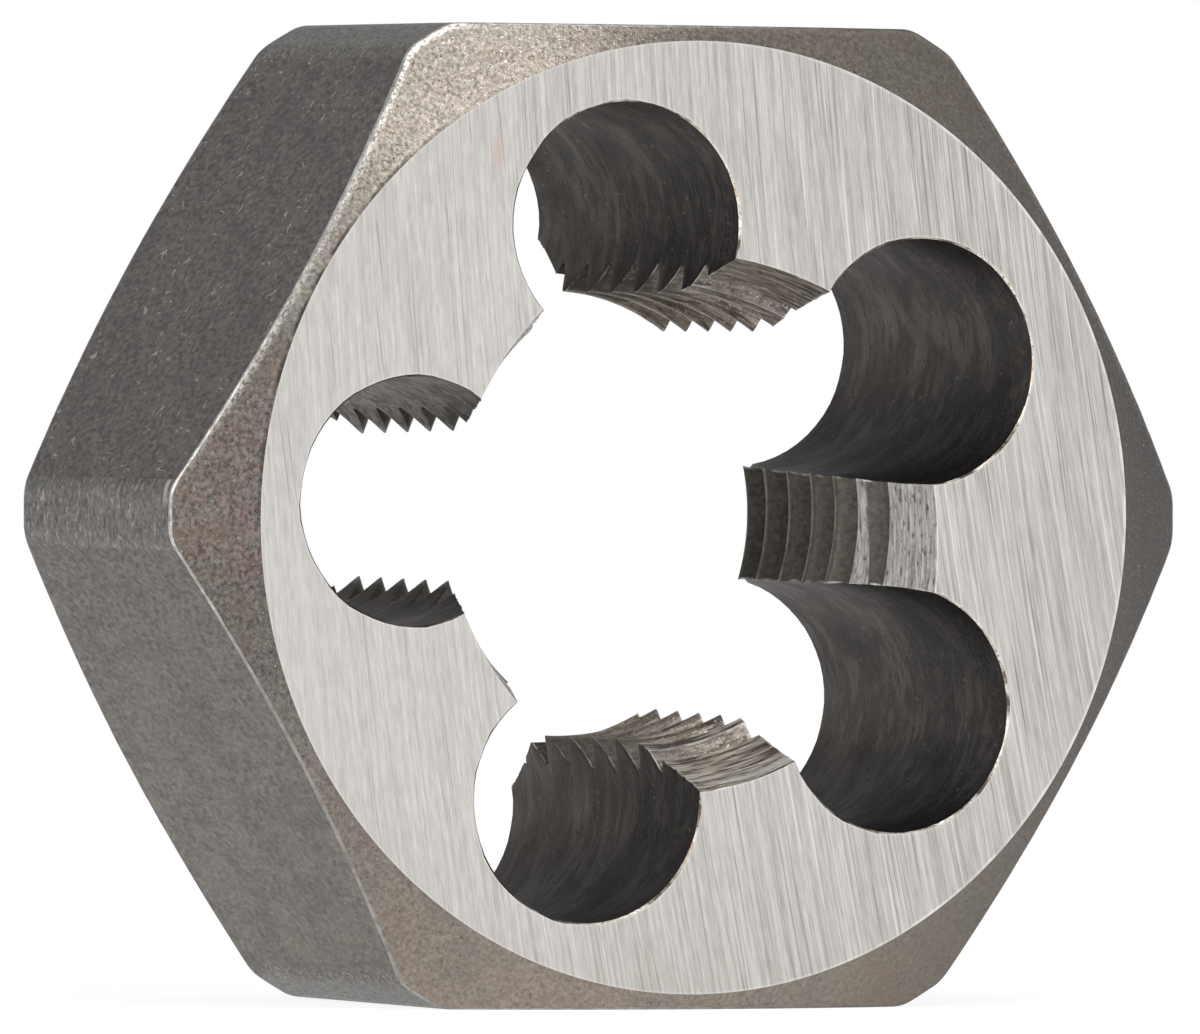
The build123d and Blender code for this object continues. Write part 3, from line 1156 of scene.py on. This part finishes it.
def hex_flat():
    dark_grain, light_grain = (0.060, 0.053, 0.050), (0.160, 0.143, 0.135)
    light_patch, dark_patch = (0.143, 0.125, 0.113), (0.070, 0.064, 0.062)
    light_band, dark_band = (0.155, 0.140, 0.125), (0.074, 0.066, 0.060)
    material, tree, shader = steel("hex_flat", 0.75)
    _, _, z = position(tree)
    grain, patches = grains(tree, (0.145, 0.28, 0.145), 3.0), grains(tree, (1.3, 1.6, 1.3), 4.0)
    bands, bends = grains(tree, (0.28, 2.2, 0.28), 3.0, 17.0), grains(tree, (0.5, 3.4, 0.5), 1.0, 5.0)
    share = strength_of(tree, grain, spread(tree, z, -10.0, -2.0, 2.3, 3.5))
    colour = tint(tree, share, dark_grain, light_grain)
    colour = over(tree, colour, patches, 0.50, 0.66, 0.5, light_patch)
    colour = over(tree, colour, patches, 0.48, 0.34, 0.5, dark_patch)
    below = spread(tree, z, 1.0, -2.0)
    colour = tint(tree, times(tree, spread(tree, bands, 0.46, 0.36, 0.0, 0.35), below), colour, dark_band)
    colour = tint(tree, times(tree, spread(tree, bands, 0.54, 0.66, 0.0, 0.30), below), colour, light_band)
    # Painted light: paler low down, for the pale floor that the lower flats reflect.
    colour = toned(tree, colour, spread(tree, z, 0.0, -12.0), (1.45, 1.43, 1.31))
    marks = times(tree, contour(tree, bends, 0.5, 0.016), spread(tree, z, 0.0, -4.0, 0.15, 0.65),
                  spread(tree, grains(tree, 0.7, 2.0, 23.0), 0.54, 0.62))
    colour = tint(tree, marks, colour, dark_skin)
    clusters = times(tree, spread(tree, patches, 0.44, 0.54, 0.15, 1.0),
                     spread(tree, z, -2.0, 0.5, 0.15, 1.0))
    colour = curled_nicks(tree, colour, clusters)
    colour = worn_rim(tree, colour, 0.12, (0.50, 0.47, 0.43))
    roughness = spread(tree, grain, 0.3, 0.7, 0.50, 0.42)
    join_up(tree, shader, colour, roughness, relief(tree, grain, 0.010))
    return material


def turned_corner():
    dark_grain, light_grain = (0.062, 0.058, 0.053), (0.222, 0.207, 0.190)
    rub_place, rub_stretch = (-15.15, front_y + 1.72, 0.75), (1, 0.20, 0.55)
    material, tree, shader = steel("turned_corner", 0.8)
    grain, ticks = grains(tree, 0.12, 3.0, 4.0), grains(tree, (0.26, 0.17, 0.26), 2.0)
    patches = grains(tree, (1.0, 0.6, 1.0), 3.0, 8.0)
    _, _, z = position(tree)
    turned = times(tree, near(tree, z, 0.0, 6.0, 4.0, 0.15, 1.0),
                   spread(tree, patches, 0.38, 0.58, 0.15, 0.70))
    mixed = node(tree, "ShaderNodeMix", {0: turned, 2: grain, 3: ticks}, data_type="FLOAT").outputs[0]
    colour = tint(tree, spread(tree, mixed, 0.36, 0.66), dark_grain, light_grain)
    colour = over(tree, colour, ticks, 0.62, 0.70, 0.6, (0.42, 0.40, 0.37))
    colour = over(tree, colour, ticks, 0.38, 0.30, 0.7, dark_skin)
    colour = over(tree, colour, grain, 0.36, 0.28, 0.6, dark_skin)
    from_rub = distance_from(tree, rub_place, rub_stretch)
    rubbed = times(tree, spread(tree, from_rub, 1.0, 0.3), spread(tree, ticks, 0.36, 0.50, 0.4, 0.95))
    colour = tint(tree, rubbed, colour, (0.52, 0.50, 0.46))
    roughness = spread(tree, grain, 0.3, 0.7, 0.46, 0.40)
    join_up(tree, shader, colour, roughness, relief(tree, mixed, 0.010))
    return material


give(hex_flat)
give(turned_corner)

# %% [markdown]
# ## Inside the holes
#
# The drilled walls are nearly black. Painted light makes them a little paler halfway up and deep inside,
# where light comes in through the bore, and painted shade makes them darker towards the bottom. The drill
# left soft rings that show only in places, and hardening left stains, pits and a few light specks. The left
# hole is mottled, and its upper wall, lit through the bore, is the palest of all. Just inside the front rim
# painted shade makes each wall its darkest, and along its corner with a land runs a thin bright burr, broken
# in places.
#
# What a metal reflects at a slant doesn't follow its base colour: Specular Tint sets it. So that input is
# linked too, and painted shade dims it on the low part of a wall, which would otherwise still look pale where
# it is seen at a slant.

# %% Chip hole
def land_burr(tree, width):
    """The ragged bright line along a land's corners, a little below the front face, not in the left hole."""
    x, y, _ = position(tree)
    return times(tree, spread(tree, from_mesh(tree, "edge_mm"), width, width * 0.4),
                 spread(tree, grains(tree, 0.45, 5.0, 5.0), 0.44, 0.62),
                 spread(tree, y, front_y + 0.1, front_y + 0.3), spread(tree, x, -4.0, -2.5))


def left_wall(tree, colour, mottle, x, z, up):
    """The wall of the left hole: mottled in its upper part, and pale with stains where it is lit."""
    mottled = times(tree, spread(tree, x, -4.0, -5.0), spread(tree, mottle, 0.40, 0.60),
                    spread(tree, up, 0.0, 0.3))
    colour = toned(tree, colour, mottled, (1.9, 1.85, 1.8))
    lit = times(tree, spread(tree, x, -4.5, -6.5), spread(tree, z, 1.0, 2.5), 0.92)
    blotches = weighted(tree, (grains(tree, 0.9, 3.0, 12.0), 0.5), (mottle, 0.5))
    lit_skin = tint(tree, spread(tree, blotches, 0.45, 0.53), (0.050, 0.045, 0.041), (0.21, 0.195, 0.18))
    stains = grains(tree, (0.60, 0.36, 0.60), 3.0, 14.0)
    lit_skin = over(tree, lit_skin, stains, 0.46, 0.36, 0.85, (0.012, 0.011, 0.010))
    lit_skin = over(tree, lit_skin, stains, 0.58, 0.66, 0.6, (0.36, 0.34, 0.315))
    return tint(tree, lit, colour, lit_skin)


def rims_and_corners(tree, colour, mottle, x, y, z):
    """Stains inside the front rim, painted shade just inside it, a paler low corner, burrs, and bare tips in
    the left hole.
    """
    past_rim = times(tree, near(tree, y, front_y + 0.9, 0.55, 0.2),
                     spread(tree, mottle, 0.52, 0.66, 0.0, 0.5))
    colour = tint(tree, past_rim, colour, (0.075, 0.064, 0.054))
    # Painted shade: darkest just inside the front rim.
    colour = over(tree, colour, y, front_y + 0.35, front_y + 0.10, 0.7, (0.008, 0.007, 0.006))
    by_land = times(tree, spread(tree, from_mesh(tree, "edge_mm"), 1.4, 0.2), spread(tree, z, -4.5, -5.5),
                    spread(tree, y, front_y + 2.0, front_y + 3.5), 0.45)
    colour = tint(tree, by_land, colour, (0.065, 0.056, 0.048))
    colour = tint(tree, times(tree, land_burr(tree, 0.04), 0.4), colour, (0.50, 0.46, 0.41))
    tip = times(tree, spread(tree, radius_mm(tree), crest_radius + 0.28, crest_radius),
                spread(tree, x, -3.0, -4.0, 0.0, 0.8))
    return tint(tree, tip, colour, (0.36, 0.35, 0.34))


def chip_hole():
    dark_wall, light_wall = (0.0020, 0.0018, 0.0017), (0.038, 0.0325, 0.0288)
    lit_inner_wall = (0.078, 0.067, 0.059)
    material, tree, shader = steel("chip_hole", 0.85)
    x, y, z = position(tree)
    up = from_mesh(tree, "wall_up")
    # Painted shade: the low part of each wall, except in the left hole, gets a darker colour and a dimmer
    # reflection.
    shaded_low_wall = times(tree, spread(tree, up, -0.25, -0.75), spread(tree, x, -5.0, -4.0))
    reflected = tint(tree, shaded_low_wall, (0.93, 0.90, 0.88), (0.79, 0.775, 0.79))
    tree.links.new(reflected, shader.inputs["Specular Tint"])
    rings, pits = grains(tree, (1.2, 0.44, 1.2), 1.5), grains(tree, 0.15, 3.0, 2.0)
    clouds, mottle = grains(tree, 2.0, 4.0, 8.0), grains(tree, (0.30, 0.45, 0.30), 3.0, 6.0)
    in_patches = spread(tree, clouds, 0.44, 0.58)
    ringed = times(tree, maths(tree, "SUBTRACT", rings, 0.5), in_patches)
    shade = weighted(tree, (clouds, 0.45), (ringed, 2.4), (mottle, 0.35))
    colour = tint(tree, spread(tree, shade, 0.27, 0.55), dark_wall, light_wall)
    # Painted light: paler halfway up and deep inside, where light comes in through the bore.
    lit_halfway_up = times(tree, near(tree, up, -0.2, 0.7, 0.15), spread(tree, y, -3.5, 4.0))
    colour = toned(tree, colour, lit_halfway_up, (1.5, 1.5, 1.5))
    colour = tint(tree, times(tree, lit_halfway_up, 0.35), colour, lit_inner_wall)
    colour = toned(tree, colour, shaded_low_wall, (0.8, 0.8, 0.84))
    colour = left_wall(tree, colour, mottle, x, z, up)
    flecks, dots = grains(tree, (0.16, 0.34, 0.16), 1.0, 31.0), grains(tree, 0.22, 0.0, 33.0)
    colour = over(tree, colour, pits, 0.35, 0.27, 0.75, (0.008, 0.007, 0.006))
    colour = over(tree, colour, pits, 0.66, 0.76, 0.45, (0.20, 0.175, 0.15))
    colour = over(tree, colour, flecks, 0.69, 0.76, 0.6, (0.13, 0.121, 0.113))
    colour = over(tree, colour, dots, 0.25, 0.20, 0.9, (0.001, 0.001, 0.001))
    colour = rims_and_corners(tree, colour, mottle, x, y, z)
    roughness = spread(tree, clouds, 0.3, 0.7, 0.54, 0.42)
    soft_rings = relief(tree, times(tree, rings, in_patches), 0.010)
    join_up(tree, shader, colour, roughness, relief(tree, pits, 0.014, soft_rings))
    return material


give(chip_hole)

# %% [markdown]
# ## The toothed lands
#
# The teeth have a dark skin. Painted light and shade make it palest on their crests, with a painted highlight
# along them, darkest down in the grooves, and paler towards the front, where more light and more handling
# reach it. On the top and bottom lands they are rubbed lighter all over, except in the back half beside the
# hole that is seen, where painted shade keeps them dark deep in the bore.
#
# The leads were ground last, with a coarse wheel that tore the metal, so they are bright but
# matt, with short ragged lines that run around the axis. Lines like that change fast along the
# axis and slowly around it, which is noise squeezed along Y. On the bottom land the lines are bold.
#
# Two finishes meet here along a line that crosses the mesh at a slant. If each face took one
# finish or the other, the line would be a staircase. So one material holds both, and mixes them by
# `lead_mm`, which passes through zero exactly on the line.

# %% Skin of the teeth
def on_top(tree, z):
    return spread(tree, z, 4.0, 5.0)


def on_bottom(tree, z):
    return spread(tree, z, -4.0, -5.0)


def rubbed_part(tree, x, y, z):
    """1 on the top and bottom lands, fading to 0 towards the side lands and low in the back by the hole,
    partly as painted shade deep in the bore.
    """
    from_hole = maths(tree, "MULTIPLY_ADD", z, -0.1, maths(tree, "SUBTRACT", x, 0.6))
    # Painted shade: deep in the bore, on the side towards the hole that is seen, the teeth keep their dark
    # skin.
    painted_deep_shade = times(tree, spread(tree, from_hole, 1.0, 0.35), spread(tree, y, -1.5, 2.5, 0.0, 0.75))
    by_hole = times(tree, spread(tree, from_mesh(tree, "edge_mm"), 1.3, 0.5), spread(tree, x, 1.4, 0.8),
                    spread(tree, y, front_y + 2.2, front_y + 3.4), 0.8)
    kept = maths(tree, "SUBTRACT", 1.0, maths(tree, "MAXIMUM", painted_deep_shade, by_hole))
    return times(tree, near(tree, x, 1.2, 4.0, 3.0), kept)


def dark_teeth(tree, y, height, mottle):
    """The dark skin, with painted light and shade: paler towards the front and up each tooth, and a painted
    highlight on the crests.
    """
    # Groove and flank are the ends of painted shade up each tooth; glow and crest are painted highlight
    # colours.
    groove, flank = (0.066, 0.058, 0.050), (0.190, 0.175, 0.156)
    glow, crest = (0.20, 0.19, 0.155), (0.27, 0.26, 0.225)
    lit_towards_front = spread(tree, y, 2.0, -6.0, 0.0, 0.55)
    # Painted light: paler up each tooth and towards the front, with random mottle.
    pale = maths(tree, "MULTIPLY_ADD", maths(tree, "POWER", height, 3.0), 0.45, lit_towards_front)
    pale = maths(tree, "MULTIPLY_ADD", maths(tree, "SUBTRACT", mottle, 0.5), 1.3, pale)
    crest_highlight = times(tree, spread(tree, radius_mm(tree), crest_radius + 0.13, crest_radius + 0.02),
                     spread(tree, mottle, 0.38, 0.62, 0.35, 1.0), spread(tree, y, 4.0, -4.0, 0.45, 1.0))
    dark = tint(tree, pale, groove, flank)
    dark = tint(tree, times(tree, maths(tree, "POWER", height, 6.0), 0.5), dark, glow)
    return tint(tree, crest_highlight, dark, crest)


def rubbed_teeth(tree, y, z, height, mottle, lines):
    """The rubbed skin: lines around the axis, blotches, cracks and specks, a painted highlight near the
    crests and painted shade down in the grooves.
    """
    rubbed = tint(tree, spread(tree, lines, 0.34, 0.66), (0.130, 0.110, 0.090), (0.40, 0.355, 0.305))
    rubbed = over(tree, rubbed, mottle, 0.46, 0.34, 0.6, (0.100, 0.084, 0.068))
    rubbed = over(tree, rubbed, mottle, 0.57, 0.69, 0.35, (0.50, 0.455, 0.40))
    # Painted highlight: lighter towards the crests.
    rubbed = over(tree, rubbed, height, 0.62, 1.0, 0.25, (0.42, 0.385, 0.33))
    rubbed = toned(tree, rubbed, spread(tree, y, front_y + 3.2, front_y + 2.2), (0.72, 0.74, 0.77))
    cracks = times(tree, contour(tree, grains(tree, (2.6, 0.20, 2.6), 1.0, 21.0), 0.46, 0.030), 0.7)
    rubbed = tint(tree, cracks, rubbed, (0.050, 0.041, 0.034))
    specks = grains(tree, 0.09, 2.0, 27.0)
    rubbed = over(tree, rubbed, specks, 0.60, 0.70, 0.6, (0.80, 0.74, 0.65))
    rubbed = over(tree, rubbed, specks, 0.40, 0.30, 0.5, (0.09, 0.074, 0.060))
    rubbed = toned(tree, rubbed, on_bottom(tree, z), (1.24, 1.22, 1.22))
    rubbed = toned(tree, rubbed, on_top(tree, z), (1.26, 1.22, 1.22))
    # Painted shade: dark down in the grooves.
    return over(tree, rubbed, height, 0.16, 0.0, 0.75, (0.035, 0.030, 0.026))


print("two skins for the teeth")

# %% [markdown]
# ## The leads
#
# The lead's colour comes from the same lines, with more contrast: bright torn metal on the side
# lands, and browner metal on the top and bottom ones. Then teeth and lead are mixed by `lead_mm`.
# A thin painted highlight along the edge where the lead cuts the teeth, and the burr along the corners, lie
# over both.

# %% Lead, and the whole land
def lead_colour(tree, z, rubbed_here, torn, lines, bold):
    """Bright torn metal on the side lands, browner on the top and bottom, boldly ridged on the bottom."""
    bright = tint(tree, spread(tree, lines, 0.36, 0.64), (0.47, 0.443, 0.411), (0.93, 0.905, 0.86))
    softer = strength_of(tree, lines, spread(tree, z, 4.0, 5.0, 1.0, 0.6))
    brown = tint(tree, spread(tree, softer, 0.40, 0.62), (0.110, 0.094, 0.080), (0.68, 0.635, 0.575))
    brown = toned(tree, brown, on_top(tree, z), (0.92, 0.86, 0.80))
    brown = toned(tree, brown, on_bottom(tree, z), (1.62, 1.55, 1.46))
    cracks = times(tree, contour(tree, grains(tree, (2.4, 0.14, 2.4), 1.0, 23.0), 0.46, 0.030), 0.75)
    brown = tint(tree, cracks, brown, (0.055, 0.045, 0.038))
    colour = tint(tree, rubbed_here, bright, brown)
    colour = over(tree, colour, bold, 0.46, 0.34, 0.85, (0.08, 0.066, 0.055))
    colour = over(tree, colour, bold, 0.55, 0.66, 0.75, (0.95, 0.91, 0.85))
    plain = spread(tree, rubbed_here, 0.0, 1.0, 0.85, 0.35)
    colour = tint(tree, times(tree, spread(tree, torn, 0.43, 0.34), plain), colour, (0.12, 0.105, 0.09))
    return tint(tree, times(tree, spread(tree, torn, 0.57, 0.65), plain), colour, (0.97, 0.96, 0.93))


def toothed_land():
    material, tree, shader = steel("toothed_land", 0.85)
    x, y, z = position(tree)
    mottle, torn = grains(tree, 0.15, 3.0, 6.0), grains(tree, (0.36, 0.105, 0.36), 3.0, 4.0)
    lines, bold = grains(tree, (1.1, 0.08, 1.1), 3.0), grains(tree, (2.6, 0.24, 2.6), 2.0, 3.0)
    bold = strength_of(tree, bold, times(tree, on_bottom(tree, z), 1.5))
    rubbed_here = rubbed_part(tree, x, y, z)
    height = spread(tree, radius_mm(tree), root_radius, crest_radius)
    tooth = tint(tree, rubbed_here, dark_teeth(tree, y, height, mottle),
                 rubbed_teeth(tree, y, z, height, mottle, lines))
    lead = from_mesh(tree, "lead_mm")
    cut = spread(tree, lead, -0.004, 0.004)
    colour = tint(tree, cut, tooth, lead_colour(tree, z, rubbed_here, torn, lines, bold))
    # Painted highlight along the edge where the lead meets the teeth, broken in places.
    lead_edge_highlight = times(tree, near(tree, lead, 0.0, 0.035, 0.0, 0.0, 0.8),
                        spread(tree, grains(tree, 0.9, 3.0, 14.0), 0.42, 0.58, 0.15, 1.0))
    colour = tint(tree, lead_edge_highlight, colour, (0.82, 0.80, 0.76))
    burr = times(tree, land_burr(tree, 0.07), spread(tree, lead, -0.6, -0.1, 0.4, 1.0))
    colour = tint(tree, burr, colour, (0.88, 0.86, 0.81))
    ridges = times(tree, maths(tree, "MULTIPLY_ADD", bold, 2.0, torn), cut)
    roughness = spread(tree, mottle, 0.3, 0.7, 0.56, 0.48)
    join_up(tree, shader, colour, roughness, relief(tree, ridges, 0.016, relief(tree, mottle, 0.010)))
    return material


give(toothed_land)

# %% [markdown]
# ## Broken edges
#
# Handling has worn every outside corner to bare metal, brightest where it was rubbed most, and painted shade
# makes it darker towards the bottom and the right. Round the chip holes the edge is only a ragged burr, cream
# in places, rusty or black in others, and dark all round the left hole.

# %% Broken edge
def broken_edge():
    dark_metal, bare_metal = (0.34, 0.32, 0.295), (0.72, 0.70, 0.665)
    dark_burr, cream_burr = (0.14, 0.11, 0.09), (0.95, 0.88, 0.77)
    rust, left_burr = (0.42, 0.24, 0.14), (0.040, 0.036, 0.032)
    material, tree, shader = steel("broken_edge", 1.0)
    rubbed, ragged = grains(tree, 0.40, 4.0), grains(tree, 0.12, 3.0, 8.0)
    stretches = grains(tree, 1.1, 4.0, 19.0)
    x, _, z = position(tree)
    colour = tint(tree, spread(tree, rubbed, 0.34, 0.62), dark_metal, bare_metal)
    colour = over(tree, colour, ragged, 0.46, 0.36, 0.5, (0.20, 0.185, 0.17))
    # Painted shade: the bare edges are darker towards the bottom and towards the right.
    colour = over(tree, colour, z, 1.0, -5.0, 0.65, (0.21, 0.197, 0.183))
    colour = over(tree, colour, x, -1.0, 5.0, 0.8, (0.125, 0.115, 0.106))
    burr = tint(tree, spread(tree, stretches, 0.40, 0.54), dark_burr, cream_burr)
    burr = over(tree, burr, ragged, 0.44, 0.34, 0.7, (0.08, 0.062, 0.050))
    burr = over(tree, burr, rubbed, 0.54, 0.62, 0.45, rust)
    burr = over(tree, burr, x, -4.5, -5.5, 0.85, left_burr)
    colour = tint(tree, spread(tree, radius_mm(tree), 12.5, 12.3), colour, burr)
    roughness = spread(tree, rubbed, 0.3, 0.7, 0.45, 0.36)
    join_up(tree, shader, colour, roughness, relief(tree, ragged, 0.012))
    return material


give(broken_edge)
assert [material.name for material in mesh.materials] == finish_names
print(f"{len(mesh.materials)} finishes, in the order of the faces' numbers")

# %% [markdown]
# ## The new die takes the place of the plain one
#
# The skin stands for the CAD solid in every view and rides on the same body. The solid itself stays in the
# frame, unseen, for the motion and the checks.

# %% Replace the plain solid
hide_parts("die_body")
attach(die, "root")

# %% [markdown]
# ## Floor, light and background
#
# The die stands on one flat on a pale floor. A picture with a white background needs white where
# only the background shows, but not more light on the steel. So the floor adds a glow that only
# the camera and reflections see, and its own shading below that keeps a soft shadow under the die.
# The world does the same: white to the camera, and much dimmer as a lamp. Reflections see it white down at
# the horizon and dimmer overhead, as in a studio whose backdrop ends and whose ceiling is grey. That, with
# the paler colour painted low on the flats, is what makes the upper flat of the die darker than the lower
# one.

# %% Floor and world
floor_half_width, glow_strength, glow_share = 3.0, 1.2, 0.72
world_as_lamp, ceiling_strength, ceiling_from = 0.55, 0.55, 0.35


def pale_floor():
    material = bpy.data.materials.new("pale_floor")
    material.use_nodes = True
    tree = material.node_tree
    shader = tree.nodes["Principled BSDF"]
    shader.inputs["Base Color"].default_value = (0.85, 0.85, 0.85, 1)
    shader.inputs["Roughness"].default_value = 0.9
    rays = node(tree, "ShaderNodeLightPath", {}).outputs
    seen = maths(tree, "MAXIMUM", maths(tree, "MAXIMUM", rays["Is Camera Ray"], rays["Is Glossy Ray"]),
                 rays["Is Transmission Ray"])
    glow = node(tree, "ShaderNodeEmission", {"Color": (1, 1, 1, 1), "Strength": glow_strength}).outputs[0]
    mixed = node(tree, "ShaderNodeMixShader", {0: times(tree, seen, glow_share),
                                               1: shader.outputs[0], 2: glow}).outputs[0]
    tree.links.new(mixed, tree.nodes["Material Output"].inputs["Surface"])
    return material


def flat_square(name, half, height):
    made = bpy.data.meshes.new(name)
    corners = [(-half, -half, height), (half, -half, height), (half, half, height), (-half, half, height)]
    made.from_pydata(corners, [], [(0, 1, 2, 3)])
    square = bpy.data.objects.new(name, made)
    bpy.context.collection.objects.link(square)
    return square


floor = flat_square("floor", floor_half_width, low.z)
floor.data.materials.append(pale_floor())

world = bpy.data.worlds.new("studio")
world.use_nodes = True
bpy.context.scene.world = world
sky = world.node_tree
rays = node(sky, "ShaderNodeLightPath", {}).outputs
direction = node(sky, "ShaderNodeTexCoord", {}).outputs["Generated"]
upwards = node(sky, "ShaderNodeSeparateXYZ", {0: direction}).outputs[2]
reflected = spread(sky, upwards, 0.0, ceiling_from, 1.0, ceiling_strength)
strength = spread(sky, rays["Is Glossy Ray"], 0, 1, world_as_lamp, reflected)
seen = maths(sky, "MAXIMUM", rays["Is Camera Ray"], rays["Is Transmission Ray"])
background = sky.nodes["Background"]
background.inputs["Color"].default_value = (1, 1, 1, 1)
sky.links.new(spread(sky, seen, 0, 1, strength, 1.0), background.inputs["Strength"])
print(f"floor at z = {low.z / MM:.2f} mm")

# %% [markdown]
# ## Lamps
#
# Steel mirrors whatever lights it, and a small lamp would show as a hard spot on every edge. These
# three are squares of 20 or 30 cm, seven to ten times as wide as the die, so their light is soft.
# The strongest hangs above the front, and one stands on each side.

# %% Soft lamps
def soft_lamp(name, direction, distance, size, power):
    """A square lamp that looks at the die from a direction, at a distance, both in metres."""
    lamp = bpy.data.lights.new(name, "AREA")
    lamp.size, lamp.energy = size, power
    holder = bpy.data.objects.new(name, lamp)
    towards = Vector(direction).normalized()
    holder.location = towards * distance
    holder.rotation_euler = towards.to_track_quat("Z", "Y").to_euler()
    bpy.context.collection.objects.link(holder)
    return holder


soft_lamp("lamp_above", (-0.02, -0.58, 0.81), distance=0.5, size=0.20, power=0.75)
soft_lamp("lamp_left", (-0.9, -0.2, 0.35), distance=0.6, size=0.3, power=0.7)
soft_lamp("lamp_right", (0.8, -0.6, 0.3), distance=0.6, size=0.3, power=0.4)
print("three soft lamps")

# %% [markdown]
# ## Camera
#
# The view comes from fitting the outline of the hexagon: from the left of the front face, a touch
# above the axis, through a long lens. A turn about Z, a tilt and a small roll set the direction,
# and the camera then stands back from the point it aims at.

# %% Camera
view_azimuth, view_elevation, view_roll = (math.radians(angle) for angle in (-24.636, 0.583, 0.531))
view_distance = 570.41
view_aim = Vector((-0.0246, 0.0106, -0.0650))

lens = bpy.data.cameras.new("camera")
lens.lens, lens.sensor_width = 617.744, 36.0
lens.clip_start, lens.clip_end = 0.05, 10.0
camera = bpy.data.objects.new("camera", lens)
bpy.context.collection.objects.link(camera)
turn = (Matrix.Rotation(view_azimuth, 4, "Z") @ Matrix.Rotation(math.pi / 2 - view_elevation, 4, "X")
        @ Matrix.Rotation(view_roll, 4, "Z"))
back = turn @ Vector((0, 0, view_distance))
camera.matrix_world = Matrix.Translation((view_aim + back) * MM) @ turn
bpy.context.scene.camera = camera
bpy.context.scene.view_settings.view_transform = "Standard"
print("camera at", [round(side / MM, 1) for side in camera.location])
